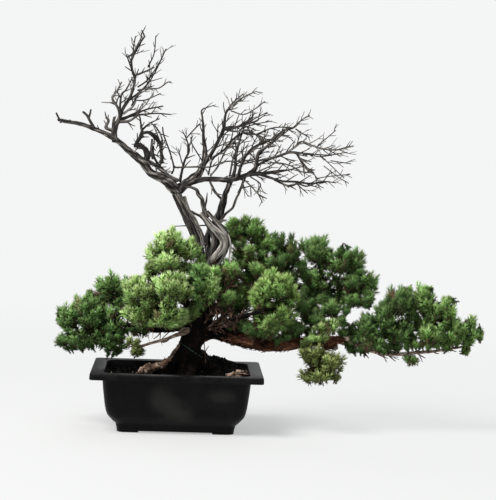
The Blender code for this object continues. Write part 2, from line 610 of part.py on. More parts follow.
def settle(piece, spaces, cutters):
    """Cut the piece back to its gap from all that is in place, and note the space it takes."""
    own_space = inflated_copy(piece, cutters)
    for space in spaces:
        if boxes_meet(piece, space):
            boolean(piece, space, "DIFFERENCE")
    keep_largest_body(piece)
    spaces.append(own_space)


def finish(obj, material, parent):
    obj.data.materials.clear()
    obj.data.materials.append(material)
    obj.data.shade_smooth()
    obj.data.set_sharp_from_angle(angle=math.radians(40))
    obj.parent = parent


def build():
    clear_scene()
    tree = make_collection(NAME)
    cutters = make_collection(NAME + "_cutters")
    materials = {name: make_material(name, *look) for name, look in MATERIALS.items()}
    spaces = []

    wire = make_tube("tie_wire", TIE_WIRE, tree, 1, 2)
    settle(wire, spaces, cutters)
    trunk = make_trunk(tree)
    settle(trunk, spaces, cutters)
    live = [make_limb(name, routes, tree) for name, routes in LIVE_LIMBS.items()]
    dead = [make_limb(name, routes, tree) for name, routes in DEAD_LIMBS.items()]
    pads = [make_pad(name, lobes, tree) for name, lobes in PADS.items()]
    for piece in live + dead + pads:
        settle(piece, spaces, cutters)

    pot = make_pot(tree, cutters)
    screens = [make_mesh_screen("drainage_mesh_left", -DRAIN_HOLE_X, tree, cutters),
               make_mesh_screen("drainage_mesh_right", DRAIN_HOLE_X, tree, cutters)]
    bits = [make_bark_bit(name, place, tree) for name, place in BARK_BITS.items()]
    for bit in bits:
        settle(bit, spaces, cutters)
    margin = Vector((GAP, GAP, GAP))
    for screen in screens:
        low, high = mesh_box(screen)
        spaces.append(make_box(screen.name + "_space", low - margin, high + margin, cutters))
    soil = make_soil(tree)
    settle(soil, spaces, cutters)

    parent = bpy.data.objects.new("bonsai_origin", None)
    tree.objects.link(parent)
    groups = {"pot_plastic": [pot], "mesh_plastic": screens, "soil": [soil], "wire": [wire],
              "bark": [trunk] + live + bits, "deadwood": dead, "foliage": pads}
    for name, members in groups.items():
        for obj in members:
            finish(obj, materials[name], parent)
    parent.location = (-TREE_MIDDLE[0], -TREE_MIDDLE[1], 0.0)

    for cutter in cutters.objects:
        cutter.hide_render = True
        cutter.display_type = "WIRE"
        cutter.hide_set(True)


build()
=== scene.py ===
"""Looks of a juniper bonsai with deadwood, in a plastic training pot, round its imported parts."""
import math
import random

import bmesh
import bpy
import numpy as np
from mathutils import Matrix, Vector, noise
from mathutils.bvhtree import BVHTree


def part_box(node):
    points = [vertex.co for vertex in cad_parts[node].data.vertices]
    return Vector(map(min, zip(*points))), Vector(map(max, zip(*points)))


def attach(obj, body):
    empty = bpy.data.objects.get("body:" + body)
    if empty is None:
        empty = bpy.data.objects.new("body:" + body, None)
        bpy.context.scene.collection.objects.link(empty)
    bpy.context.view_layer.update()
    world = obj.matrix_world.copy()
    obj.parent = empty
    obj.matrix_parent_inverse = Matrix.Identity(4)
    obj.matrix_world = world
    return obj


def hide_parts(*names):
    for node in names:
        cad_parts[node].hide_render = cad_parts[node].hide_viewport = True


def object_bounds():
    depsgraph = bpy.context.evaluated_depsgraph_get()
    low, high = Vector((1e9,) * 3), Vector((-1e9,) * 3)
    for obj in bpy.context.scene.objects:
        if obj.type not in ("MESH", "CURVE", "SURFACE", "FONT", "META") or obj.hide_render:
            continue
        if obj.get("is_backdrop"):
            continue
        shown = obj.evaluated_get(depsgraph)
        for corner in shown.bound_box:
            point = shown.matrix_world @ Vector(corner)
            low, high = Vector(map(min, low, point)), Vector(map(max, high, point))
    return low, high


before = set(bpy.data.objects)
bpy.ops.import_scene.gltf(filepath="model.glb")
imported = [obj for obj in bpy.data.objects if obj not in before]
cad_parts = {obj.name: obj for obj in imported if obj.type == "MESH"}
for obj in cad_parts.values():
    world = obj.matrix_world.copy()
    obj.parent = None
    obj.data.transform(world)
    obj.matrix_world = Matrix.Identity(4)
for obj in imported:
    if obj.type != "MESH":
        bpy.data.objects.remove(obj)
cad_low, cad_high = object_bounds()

# ---------------------------------------------------------------------------------------------
# Studio: a pale seamless floor, a broad soft key light from the upper left and a weak fill.
# The camera looks a little down on the tree from in front of the pot.

pot_low, pot_high = (Vector(corner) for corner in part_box("pot"))
pot_middle = Vector(((pot_low.x + pot_high.x) / 2, (pot_low.y + pot_high.y) / 2, pot_low.z))

bpy.ops.object.camera_add()
camera = bpy.context.object
camera.name = "camera"
camera.data.sensor_width = 36.0
camera.data.lens = 126.54
CAMERA_PLACE = Vector((0.0, -2.7355, 0.4619))
CAMERA_YAW = math.radians(2.19)
CAMERA_PITCH = math.radians(3.753)
CAMERA_ROLL = math.radians(1.934)
camera.matrix_world = (Matrix.Translation(pot_middle + CAMERA_PLACE)
                       @ Matrix.Rotation(-CAMERA_YAW, 4, "Z")
                       @ Matrix.Rotation(math.radians(90) - CAMERA_PITCH, 4, "X")
                       @ Matrix.Rotation(CAMERA_ROLL, 4, "Z"))
bpy.context.scene.camera = camera
bpy.context.scene.view_settings.view_transform = "Standard"


def feed(tree, node, inputs):
    """Gives a node's sockets a value or a link each. A colour may leave out its alpha."""
    for name, value in inputs.items():
        socket = node.inputs[name]
        if isinstance(value, bpy.types.NodeSocket):
            tree.links.new(value, socket)
        elif socket.type == "RGBA" and len(value) == 3:
            socket.default_value = (*value, 1.0)
        else:
            socket.default_value = value


def put(tree, kind, inputs=None, **fields):
    """Adds a shader node, sets its fields and feeds its sockets."""
    node = tree.nodes.new("ShaderNode" + kind)
    for field, value in fields.items():
        setattr(node, field, value)
    feed(tree, node, inputs or {})
    return node


def ranged(tree, value, low=0.0, high=1.0, to_low=0.0, to_high=1.0, **fields):
    """A value carried from one range to another and held at its ends."""
    return put(tree, "MapRange", {"Value": value, "From Min": low, "From Max": high,
                                  "To Min": to_low, "To Max": to_high}, **fields).outputs[0]


BACKDROP = (0.905, 0.915, 0.910)
world = bpy.data.worlds.new("studio")
world.use_nodes = True
bpy.context.scene.world = world
sky = world.node_tree
sky.nodes.clear()
seen = put(sky, "Background", {"Color": BACKDROP, "Strength": 1.0})
cast = put(sky, "Background", {"Color": BACKDROP, "Strength": 0.42})
rays = put(sky, "LightPath")
both = put(sky, "MixShader", {0: rays.outputs["Is Camera Ray"], 1: cast.outputs[0],
                              2: seen.outputs[0]})
put(sky, "OutputWorld", {"Surface": both.outputs[0]})

bpy.ops.object.select_all(action="DESELECT")
bpy.ops.mesh.primitive_plane_add(size=30.0, location=pot_middle)
floor = bpy.context.object
floor.name = "floor"
floor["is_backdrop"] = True
paper = bpy.data.materials.new("paper")
paper.use_nodes = True
tree = paper.node_tree
tree.nodes.clear()
place = put(tree, "TexCoord")
reach = put(tree, "VectorMath", {0: place.outputs["Object"]}, operation="LENGTH")
reach = reach.outputs["Value"]
near = ranged(tree, reach, 0.14, 0.34, 0.46, 0.76, interpolation_type="SMOOTHSTEP")
fade = ranged(tree, reach, 0.45, 2.0, near, interpolation_type="SMOOTHSTEP")
sheet = put(tree, "BsdfDiffuse", {"Color": (0.70, 0.71, 0.71)})
glow = put(tree, "Emission", {"Color": BACKDROP, "Strength": 1.0})
blend = put(tree, "MixShader", {0: fade, 1: sheet.outputs[0], 2: glow.outputs[0]})
put(tree, "OutputMaterial", {"Surface": blend.outputs[0]})
floor.data.materials.append(paper)


def add_light(name, place, size, power, colour):
    """A square soft box aimed at the middle of the tree."""
    bpy.ops.object.light_add(type="AREA", location=pot_middle + Vector(place))
    light = bpy.context.object
    light.name = name
    light.data.size = size
    light.data.energy = power
    light.data.color = colour
    aim = pot_middle + Vector((0.1, 0.0, 0.25)) - light.location
    light.rotation_euler = aim.to_track_quat("-Z", "Y").to_euler()


add_light("key_light", (-1.2, -1.2, 2.3), size=1.2, power=84.0, colour=(1.0, 0.985, 0.96))
add_light("fill_light", (1.9, -2.2, 1.1), size=1.6, power=8.0, colour=(0.95, 0.98, 1.0))
add_light("back_light", (0.6, 2.2, 1.7), size=1.4, power=16.0, colour=(0.97, 0.99, 1.0))

# ---------------------------------------------------------------------------------------------
# Pot: a rectangular black training pot, injection moulded in one thin shell. It has a flat
# flange with a turned down skirt, a bellied wall, four low feet and two drain holes in its floor.

MM = 0.001


def maths(tree, operation, first, second=0.5, **fields):
    """One step of arithmetic on two values."""
    return put(tree, "Math", {0: first, 1: second}, operation=operation, **fields).outputs[0]


def mixed(tree, share, first, second):
    """Two colours mixed by a share of the second."""
    return put(tree, "Mix", {0: share, 6: first, 7: second}, data_type="RGBA").outputs[2]


def cloudy(tree, place, scale, detail, roughness=0.5):
    """Soft noise between 0 and 1."""
    return put(tree, "TexNoise", {"Vector": place, "Scale": scale, "Detail": detail,
                                  "Roughness": roughness}).outputs["Fac"]


def new_group(name, inputs, outputs):
    """A node group with named sockets: its tree, what it reads, and where its results go."""
    group = bpy.data.node_groups.new(name, "ShaderNodeTree")
    for way, sockets in (("INPUT", inputs), ("OUTPUT", outputs)):
        for label, kind in sockets:
            group.interface.new_socket(label, in_out=way, socket_type="NodeSocket" + kind)
    start = group.nodes.new("NodeGroupInput").outputs
    return group, start, group.nodes.new("NodeGroupOutput").inputs


def uneven_colour_group():
    """Colour that drifts between three tones, as most grown or worn surfaces do."""
    group, start, end = new_group("uneven_colour", (
        ("Vector", "Vector"), ("Scale", "Float"), ("Dark", "Color"), ("Middle", "Color"),
        ("Light", "Color")), (("Color", "Color"), ("Value", "Float")))
    cloud = cloudy(group, start["Vector"], start["Scale"], 6.0, 0.62)
    low = mixed(group, ranged(group, cloud, 0.30, 0.52), start["Dark"], start["Middle"])
    high = mixed(group, ranged(group, cloud, 0.50, 0.70), low, start["Light"])
    group.links.new(high, end["Color"])
    group.links.new(cloud, end["Value"])
    return group


def dust_group():
    """A pale film that settles on what faces up, patchy, over any colour."""
    group, start, end = new_group("dust", (
        ("Color", "Color"), ("Dust", "Color"), ("Amount", "Float"), ("Scale", "Float")),
        (("Color", "Color"), ("Mask", "Float")))
    place = put(group, "TexCoord").outputs["Object"]
    facing = put(group, "SeparateXYZ", {0: put(group, "NewGeometry").outputs["Normal"]})
    up = ranged(group, facing.outputs["Z"], -0.2, 1.0, 0.04)
    patch = ranged(group, cloudy(group, place, start["Scale"], 8.0, 0.7), 0.38, 0.72)
    share = maths(group, "MULTIPLY", up, patch)
    share = maths(group, "MULTIPLY", share, start["Amount"], use_clamp=True)
    group.links.new(mixed(group, share, start["Color"], start["Dust"]), end["Color"])
    group.links.new(share, end["Mask"])
    return group


uneven_colour = uneven_colour_group()
dust = dust_group()


def new_finish(name):
    """A material with a Principled shader, its node tree, and a place to read from."""
    material = bpy.data.materials.new(name)
    material.use_nodes = True
    tree = material.node_tree
    return material, tree, tree.nodes["Principled BSDF"], put(tree, "TexCoord").outputs["Object"]


def place_group(tree, group, inputs):
    """Puts a node group in a material and gives back its results."""
    node = tree.nodes.new("ShaderNodeGroup")
    node.node_tree = group
    feed(tree, node, inputs)
    return node.outputs


def toned(tree, place, scale, dark, middle, light):
    """The drifting colour of uneven_colour, with its three tones."""
    return place_group(tree, uneven_colour, {"Vector": place, "Scale": scale, "Dark": dark,
                                             "Middle": middle, "Light": light})["Color"]


def roughen(tree, shader, height, strength, depth):
    """Relief too fine to model, from a height in the material."""
    bump = put(tree, "Bump", {"Height": height, "Strength": strength, "Distance": depth})
    tree.links.new(bump.outputs["Normal"], shader.inputs["Normal"])


# Painted sheen: paler patches on the pot's front that stand in for soft reflections: middle and
# reach of each (m)
PAINTED_SHEEN_PATCHES = [((-0.162, -0.08, 0.056), (0.026, 0.06, 0.026)),
               ((-0.146, -0.08, 0.044), (0.027, 0.06, 0.025)),
               ((-0.132, -0.08, 0.031), (0.026, 0.06, 0.022)),
               ((-0.072, -0.08, 0.062), (0.028, 0.06, 0.013))]


def moulded_plastic(name, dark, light, dust_amount):
    """Satin moulded plastic: faint tone drift, a fine pebble, dust, and patches of painted sheen
    that stand in for reflections.
    """
    material, tree, shader, place = new_finish(name)
    film = place_group(tree, dust, {"Color": toned(tree, place, 14.0, dark, dark, light),
                                    "Dust": (0.130, 0.130, 0.124), "Amount": dust_amount,
                                    "Scale": 38.0})
    colour = film["Color"]
    # Painted sheen: each patch mixes a paler grey into the colour, in place of a soft reflection
    for middle, reach in PAINTED_SHEEN_PATCHES:
        far = put(tree, "VectorMath", {0: place, 1: middle}, operation="SUBTRACT")
        far = put(tree, "VectorMath", {0: far.outputs[0], 1: reach}, operation="DIVIDE")
        far = put(tree, "VectorMath", {0: far.outputs[0]}, operation="LENGTH")
        far = maths(tree, "ADD", far.outputs["Value"], cloudy(tree, place, 32.0, 4.0))
        painted_sheen_mask = ranged(tree, far, 0.55, 1.60, 0.8, 0.0, interpolation_type="SMOOTHSTEP")
        colour = mixed(tree, painted_sheen_mask, colour, (0.021, 0.021, 0.019))
    feed(tree, shader, {"Base Color": colour, "Specular IOR Level": 0.10,
                        "Roughness": ranged(tree, film["Mask"], 0.0, 1.0, 0.42, 0.75)})
    roughen(tree, shader, cloudy(tree, place, 1400.0, 2.0), 0.12, 0.0004)
    return material


pot_plastic = moulded_plastic("pot_plastic", (0.0012, 0.0012, 0.0014),
                              (0.0050, 0.0050, 0.0056), dust_amount=0.20)

POT_WIDTH = (pot_high.x - pot_low.x) / MM
POT_DEPTH = (pot_high.y - pot_low.y) / MM
TOP = (pot_high.z - pot_low.z) / MM
# The drop of the rim's skirt, and the thickness of flange and wall (mm)
SKIRT = 9.2
PLATE = 3.0
WALL = 2.4
# Each ring of the pot's shell: inset from the rim's edge, height, corner radius (mm)
FOOT = [(42.8, 0.0, 11.6), (42.3, 0.5, 12.0), (42.0, 3.5, 12.0), (41.5, 7.0, 12.0)]
WALL_LINE = [(39.5, 13.0), (36.0, 16.4), (33.0, 20.0), (29.6, 24.0), (27.0, 28.0),
             (25.5, 32.0), (24.5, 36.0), (23.3, 42.0), (22.5, 48.0), (20.3, 66.0), (18.7, 83.0)]
FLANGE = [(18.2, TOP - PLATE, 17.0), (PLATE, TOP - PLATE, 4.0), (2.8, TOP - SKIRT, 4.0),
          (0.5, TOP - SKIRT, 6.5), (0.0, TOP - SKIRT + 0.8, 7.0), (0.4, TOP - 1.0, 7.0),
          (0.8, TOP - 0.3, 6.8), (1.5, TOP, 6.3), (19.6, TOP, 14.6), (20.3, TOP - 0.3, 14.6),
          (20.6, TOP - 1.0, 14.6)]
FLOOR = [(45.5, 8.0, 11.0), (48.5, 5.5, 9.0)]


def rounded_ring(inset, height, corner):
    """A level outline of the pot: a rectangle with round corners."""
    half_x, half_y = POT_WIDTH / 2 - inset, POT_DEPTH / 2 - inset
    ring = []
    for quarter, (side_x, side_y) in enumerate([(1, 1), (-1, 1), (-1, -1), (1, -1)]):
        for step in range(9):
            angle = math.radians(90 * (quarter + step / 8))
            ring.append(pot_middle + MM * Vector((
                side_x * (half_x - corner) + corner * math.cos(angle),
                side_y * (half_y - corner) + corner * math.sin(angle), height)))
    return ring


def link_object(name, mesh):
    """Puts a mesh in the scene."""
    obj = bpy.data.objects.new(name, mesh)
    bpy.context.scene.collection.objects.link(obj)
    return obj


def pick(*objects):
    """Selects only these objects, and makes the first of them the active one."""
    bpy.ops.object.select_all(action="DESELECT")
    for obj in objects:
        obj.select_set(True)
    if objects:
        bpy.context.view_layer.objects.active = objects[0]


def apply_modifiers(obj):
    """Makes an object's modifiers part of its mesh."""
    pick(obj)
    for modifier in list(obj.modifiers):
        bpy.ops.object.modifier_apply(modifier=modifier.name)


def settle_place(obj):
    """Moves the object's place into its mesh, so that it sits at the origin, unturned."""
    pick(obj)
    bpy.ops.object.transform_apply(location=True, rotation=True, scale=True)


def cut_box(target, low, high, round_edge):
    """Cuts a box with rounded edges out of a piece."""
    pick()
    middle = (Vector(low) + Vector(high)) / 2
    bpy.ops.mesh.primitive_cube_add(size=1.0, location=middle, scale=Vector(high) - Vector(low))
    cutter = bpy.context.object
    settle_place(cutter)
    edge = cutter.modifiers.new("edge", "BEVEL")
    edge.width = round_edge
    edge.segments = 3
    cut = target.modifiers.new("cut", "BOOLEAN")
    cut.operation = "DIFFERENCE"
    cut.solver = "EXACT"
    cut.object = cutter
    apply_modifiers(target)
    bpy.data.objects.remove(cutter)


outside = FOOT + [(inset, height, 17.0) for inset, height in WALL_LINE]
inside = [(inset + WALL, height, 17.0 - WALL) for inset, height in reversed(WALL_LINE)]
rings = [rounded_ring(*ring) for ring in outside + FLANGE + inside + FLOOR]
count = len(rings[0])
last = (len(rings) - 1) * count
faces = [[row + i, row + (i + 1) % count, row + count + (i + 1) % count, row + count + i]
         for row in range(0, last, count) for i in range(count)]
faces += [list(reversed(range(count))), list(range(last, last + count))]
shell = bpy.data.meshes.new("training_pot")
shell.from_pydata([point for ring in rings for point in ring], [], faces)
pot = link_object("training_pot", shell)
# Two gaps that cross under the floor leave a foot at each corner
FOOT_RISE = 2.4 * MM
for reach_x, reach_y in ((57 * MM, 150 * MM), (200 * MM, 30 * MM)):
    cut_box(pot, pot_middle - Vector((reach_x, reach_y, 5 * MM)),
            pot_middle + Vector((reach_x, reach_y, FOOT_RISE)), 1.2 * MM)
# Two drain holes go through the floor
for side in (-1, 1):
    hole = pot_middle + Vector((side * 38 * MM, 0.0, 0.0))
    cut_box(pot, hole - Vector((15 * MM, 9 * MM, 5 * MM)),
            hole + Vector((15 * MM, 9 * MM, 12 * MM)), 2.0 * MM)
soft_edge = pot.modifiers.new("soft_edge", "BEVEL")
soft_edge.width = 0.5 * MM
soft_edge.segments = 2
soft_edge.limit_method = "ANGLE"
soft_edge.angle_limit = math.radians(35)
apply_modifiers(pot)
bpy.ops.object.shade_smooth_by_angle(angle=math.radians(35))
pot.data.materials.append(pot_plastic)
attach(pot, "root")
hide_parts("pot")

# ---------------------------------------------------------------------------------------------
# Drainage screens: dark green moulded grids laid over the drain holes, inside the pot.

screen_plastic = moulded_plastic("screen_plastic", (0.014, 0.024, 0.016),
                                 (0.024, 0.040, 0.028), dust_amount=0.5)
for name in ("drainage_mesh_left", "drainage_mesh_right"):
    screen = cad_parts[name]
    screen.data.materials.clear()
    screen.data.materials.append(screen_plastic)

# ---------------------------------------------------------------------------------------------
# Soil: dark, crumbly bonsai soil that is level near the pot's wall and mounded round the trunk.
# Loose crumbs and pale grit lie on it.


def read_array(items, field, kind, width=1):
    """One field of all of a mesh's points, corners or faces."""
    values = np.empty(len(items) * width, kind)
    items.foreach_get(field, values)
    return values


def join_copies(name, source, places, shades=None):
    """One mesh of many copies of a small mesh, each turned and placed by a 3 x 4 matrix.

    shades gives each copy three numbers, kept with the source's own "tip" value at each point.
    """
    count, total = len(source.vertices), len(places)
    points = read_array(source.vertices, "co", np.float32, 3).reshape(-1, 3)
    moved = np.einsum("nij,kj->nki", places[:, :, :3], points) + places[:, None, :, 3]
    corners = read_array(source.loops, "vertex_index", np.int32)
    starts = read_array(source.polygons, "loop_start", np.int32)
    mesh = bpy.data.meshes.new(name)
    mesh.vertices.add(count * total)
    mesh.vertices.foreach_set("co", moved.astype(np.float32).ravel())
    mesh.loops.add(len(corners) * total)
    step = np.arange(total, dtype=np.int32)[:, None]
    mesh.loops.foreach_set("vertex_index", (corners[None, :] + step * count).ravel())
    mesh.polygons.add(len(starts) * total)
    mesh.polygons.foreach_set("loop_start", (starts[None, :] + step * len(corners)).ravel())
    mesh.update(calc_edges=True)
    if shades is not None:
        tips = np.zeros(count, np.float32)
        if "tip" in source.attributes:
            source.attributes["tip"].data.foreach_get("value", tips)
        colours = np.ones((total, count, 4), np.float32)
        colours[:, :, 0] = tips[None, :]
        colours[:, :, 1:] = shades[:, None, :]
        shade = mesh.attributes.new("shade", "FLOAT_COLOR", "POINT")
        shade.data.foreach_set("color", colours.ravel())
    mesh.validate()
    return mesh


def add_piece(name, mesh, finish, replaced=()):
    """Puts a finished mesh in the scene as a piece of the tree."""
    piece = link_object(name, mesh)
    mesh.materials.clear()
    mesh.materials.append(finish)
    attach(piece, "root")
    if replaced:
        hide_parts(*replaced)
    return piece


def turned_places(points, scales, rng):
    """A matrix for each point, turned at random, with the given scale."""
    places = np.zeros((len(points), 3, 4), np.float32)
    for index, (point, scale) in enumerate(zip(points, scales)):
        turn = Vector([rng.gauss(0, 1) for _ in range(3)]).normalized().to_track_quat("Z", "Y")
        spin = Matrix.Rotation(rng.uniform(0, math.tau), 3, "Z")
        stretch = Matrix.Diagonal(Vector(scale))
        places[index, :, :3] = np.array(turn.to_matrix() @ spin @ stretch)
        places[index, :, 3] = point
    return places


def earth_finish(name, dark, middle, light, scale):
    """Damp earth or grit: dull, uneven in tone and grainy."""
    material, tree, shader, place = new_finish(name)
    feed(tree, shader, {"Base Color": toned(tree, place, scale, dark, middle, light),
                        "Roughness": 0.95, "Specular IOR Level": 0.06})
    roughen(tree, shader, cloudy(tree, place, 900.0, 4.0), 0.6, 0.001)
    return material


soil_finish = earth_finish("soil", (0.0003, 0.0002, 0.0002), (0.0010, 0.0008, 0.0006),
                           (0.006, 0.004, 0.003), scale=160.0)
grit_finish = earth_finish("grit", (0.05, 0.035, 0.025), (0.16, 0.12, 0.085),
                           (0.40, 0.33, 0.25), scale=90.0)

# The soil's height at the pot's wall, its mound, gap to the rim's edge, corner and depth (mm)
SOIL_EDGE = 84.0
SOIL_MOUND = 27.0
SOIL_INSET = 21.6
SOIL_CORNER = 14.0
SOIL_DEPTH = 9.0
SOIL_HALF = (POT_WIDTH / 2 - SOIL_INSET, POT_DEPTH / 2 - SOIL_INSET)
# Where the mound is highest, from the pot's middle, and how far it spreads (mm)
MOUND_PLACE = (56, 20)
MOUND_REACH = (50, 44)


def soil_height(x, y):
    """Height of the soil in mm, at a place in mm from the pot's middle."""
    out = ((x - MOUND_PLACE[0]) / MOUND_REACH[0], (y - MOUND_PLACE[1]) / MOUND_REACH[1])
    mound = SOIL_MOUND * math.exp(-out[0] ** 2 - out[1] ** 2)
    lumps = 1.6 * noise.noise(Vector((x / 14, y / 14, 0.0)))
    return SOIL_EDGE + mound + lumps + 1.3 * noise.noise(Vector((x / 4.5, y / 4.5, 3.0)))


pick()
bpy.ops.mesh.primitive_grid_add(x_subdivisions=130, y_subdivisions=94, size=1.0)
soil = bpy.context.object
soil.name = "soil_surface"
for vert in soil.data.vertices:
    x, y = 2 * vert.co.x * SOIL_HALF[0], 2 * vert.co.y * SOIL_HALF[1]
    over_x, over_y = abs(x) - SOIL_HALF[0] + SOIL_CORNER, abs(y) - SOIL_HALF[1] + SOIL_CORNER
    if over_x > 0 and over_y > 0:
        shrink = max(over_x, over_y) / math.hypot(over_x, over_y)
        x = math.copysign(SOIL_HALF[0] - SOIL_CORNER + over_x * shrink, x)
        y = math.copysign(SOIL_HALF[1] - SOIL_CORNER + over_y * shrink, y)
    vert.co = Vector((x, y, soil_height(x, y))) * MM + pot_middle
bpy.ops.object.mode_set(mode="EDIT")
bpy.ops.mesh.select_all(action="SELECT")
bpy.ops.mesh.region_to_loop()
bpy.ops.mesh.extrude_edges_move(TRANSFORM_OT_translate={"value": (0.0, 0.0, -SOIL_DEPTH * MM)})
bpy.ops.mesh.edge_face_add()
bpy.ops.mesh.select_all(action="SELECT")
bpy.ops.mesh.normals_make_consistent(inside=False)
bpy.ops.object.mode_set(mode="OBJECT")
soil.data.materials.append(soil_finish)
bpy.ops.object.shade_smooth()
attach(soil, "root")
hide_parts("soil")


def rough_stone(name, seed):
    """A small broken grain: a coarse ball, squashed and chipped."""
    pick()
    bpy.ops.mesh.primitive_ico_sphere_add(subdivisions=1, radius=1.0)
    stone = bpy.context.object
    for vert in stone.data.vertices:
        vert.co *= 1.0 + 0.55 * noise.noise(vert.co * 1.6 + Vector((seed, 0.0, 0.0)))
    mesh = stone.data
    bpy.data.objects.remove(stone)
    mesh.name = name
    return mesh


rng = random.Random(11)


def scatter_on_soil(count, smallest, largest, low=(-1, -1), high=(1, 1)):
    """Points on the soil and a scale for each; low and high are shares of its half size."""
    points, scales = [], []
    for _ in range(count):
        x = rng.uniform(low[0], high[0]) * (SOIL_HALF[0] - 3)
        y = rng.uniform(low[1], high[1]) * (SOIL_HALF[1] - 3)
        size = smallest + (largest - smallest) * rng.random() ** 3
        points.append(np.array(pot_middle) + np.array((x, y, soil_height(x, y) + size * 0.3)) * MM)
        scales.append([size * MM * rng.uniform(0.6, 1.0) for _ in range(3)])
    return points, scales


grain = rough_stone("grain", 2.0)
crumbs = join_copies("soil_crumbs", grain, turned_places(*scatter_on_soil(2600, 0.6, 2.6), rng))
add_piece("soil_crumbs", crumbs, soil_finish)
pale = join_copies("pale_grit", grain, turned_places(*scatter_on_soil(46, 0.6, 1.7), rng))
add_piece("pale_grit", pale, grit_finish)
left = join_copies("left_grit", grain, turned_places(
    *scatter_on_soil(50, 0.7, 2.2, (-0.95, -1.0), (-0.55, 0.2)), rng))
add_piece("left_grit", left, grit_finish)

# ---------------------------------------------------------------------------------------------
# Living wood: the trunk with its root flare, and the limbs that carry the foliage. Rough, near
# black bark, flaking to red-brown on the long right-hand limb.


def smooth_line(points, spacing):
    """Points every so often along a smooth curve through a route of (x, y, z, radius), in mm."""
    route = np.array(points, float)
    ends = np.vstack([2 * route[0] - route[1], route, 2 * route[-1] - route[-2]])
    runs = []
    for before, start, end, after in zip(ends, ends[1:], ends[2:], ends[3:]):
        steps = max(2, int(np.linalg.norm((end - start)[:3]) / spacing) + 1)
        t = np.arange(steps)[:, None] / steps
        runs.append(0.5 * (2 * start + (end - before) * t
                           + (2 * before - 5 * start + 4 * end - after) * t ** 2
                           + (3 * start - before - 3 * end + after) * t ** 3))
    runs.append(route[-1:])
    return np.vstack(runs)


def line_frames(centre):
    """Directions along, beside and over each point of a line, without sudden turns."""
    ahead = np.gradient(centre, axis=0)
    ahead /= np.linalg.norm(ahead, axis=1)[:, None]
    beside = np.empty_like(ahead)
    first = np.cross(ahead[0], (0.31, 0.92, 0.23))
    beside[0] = first / np.linalg.norm(first)
    for index in range(1, len(ahead)):
        side = beside[index - 1] - ahead[index] * np.dot(beside[index - 1], ahead[index])
        beside[index] = side / np.linalg.norm(side)
    return ahead, beside, np.cross(ahead, beside)


class Skin:
    """Swept limbs, gathered as points, faces, grain and shade until they become one mesh."""

    def __init__(self):
        self.points, self.faces, self.grain, self.shade = [], [], [], []
        self.count = 0

    def sweep(self, line, sides, relief=None, twist=0.0, bleach=0.5, rest=0.5):
        """A closed limb round a line in mm; relief moves its surface in or out."""
        centre, radius = line[:, :3], line[:, 3]
        ahead, beside, over = line_frames(centre)
        steps = np.linalg.norm(np.diff(centre, axis=0), axis=1)
        along = np.concatenate([[0.0], np.cumsum(steps)])[:, None]
        angle = np.linspace(0, math.tau, sides, endpoint=False)[None, :]
        turned = angle + twist * along
        hollow = relief(turned, along) if relief else np.zeros((len(centre), sides))
        reach = radius[:, None] * (1.0 + hollow)
        ring = (centre[:, None, :] + (reach * np.cos(angle))[:, :, None] * beside[:, None, :]
                + (reach * np.sin(angle))[:, :, None] * over[:, None, :])
        ends = np.vstack([centre[0] - ahead[0] * radius[0] * 0.3,
                          centre[-1] + ahead[-1] * radius[-1] * 0.8])
        rings = len(centre)
        index = np.arange(rings * sides).reshape(rings, sides) + self.count
        after = np.roll(index, -1, axis=1)
        quads = np.stack([index[:-1], after[:-1], after[1:], index[1:]], axis=2).reshape(-1, 4)
        start, end = self.count + rings * sides, self.count + rings * sides + 1
        self.faces += quads.tolist()
        self.faces += [[start, b, a] for a, b in zip(index[0], after[0])]
        self.faces += [[end, a, b] for a, b in zip(index[-1], after[-1])]
        self.points += [ring.reshape(-1, 3), ends]
        flow = np.stack([np.broadcast_to(radius[:, None] * np.cos(turned), reach.shape),
                         np.broadcast_to(radius[:, None] * np.sin(turned), reach.shape),
                         np.broadcast_to(along, reach.shape)], axis=2).reshape(-1, 3)
        self.grain += [flow + rest * 400, np.zeros((2, 3))]
        tone = np.empty((rings * sides + 2, 4))
        tone[:, 0], tone[:, 1], tone[:, 3] = bleach, rest, 1.0
        # The blue channel keeps how deep each point lies in a groove, for painted shade there
        tone[:-2, 2] = np.clip(0.5 + hollow.ravel() * 2.0, 0, 1)
        tone[-2:, 2] = 0.5
        self.shade.append(tone)
        self.count += rings * sides + 2

    def mesh(self, name):
        """The gathered limbs as one mesh."""
        points = np.vstack(self.points) * MM + np.array(pot_middle)
        mesh = bpy.data.meshes.new(name)
        mesh.from_pydata(points.tolist(), [], self.faces)
        mesh.update()
        grain = mesh.attributes.new("grain", "FLOAT_VECTOR", "POINT")
        grain.data.foreach_set("vector", np.vstack(self.grain).astype(np.float32).ravel())
        shade = mesh.attributes.new("shade", "FLOAT_COLOR", "POINT")
        shade.data.foreach_set("color", np.vstack(self.shade).astype(np.float32).ravel())
        mesh.shade_smooth()
        return mesh


# Routes of the limbs, from the pot's middle: x, y, z and radius at each point (mm)
TRUNK = [(14, 0, 74, 31), (15, 0, 95, 26), (15, 0, 112, 22), (17, 0, 124, 19),
         (21, 0, 137, 17.5), (28, 0, 149, 18), (35, 0, 163, 16.5), (38, 0, 183, 15),
         (42, 0, 205, 14), (46, 0, 222, 13.5)]
ROOTS = [
    [(20, -4, 134, 10), (9, -9, 125, 8), (0, -16, 115, 7), (-9, -24, 105, 6.5),
     (-22, -30, 97, 6.5), (-44, -34, 88, 5)],
    [(24, 4, 120, 14), (4, 18, 104, 11), (-18, 34, 95, 8), (-38, 46, 84, 6)],
    [(24, -8, 114, 12), (22, -28, 96, 9), (18, -44, 84, 6), (14, -56, 76, 4)],
    [(30, 0, 112, 13), (48, -6, 98, 10), (66, -8, 90, 8), (84, -8, 80, 6)],
    [(32, 6, 112, 13), (50, 26, 98, 10), (66, 44, 90, 7), (78, 58, 80, 5)],
]
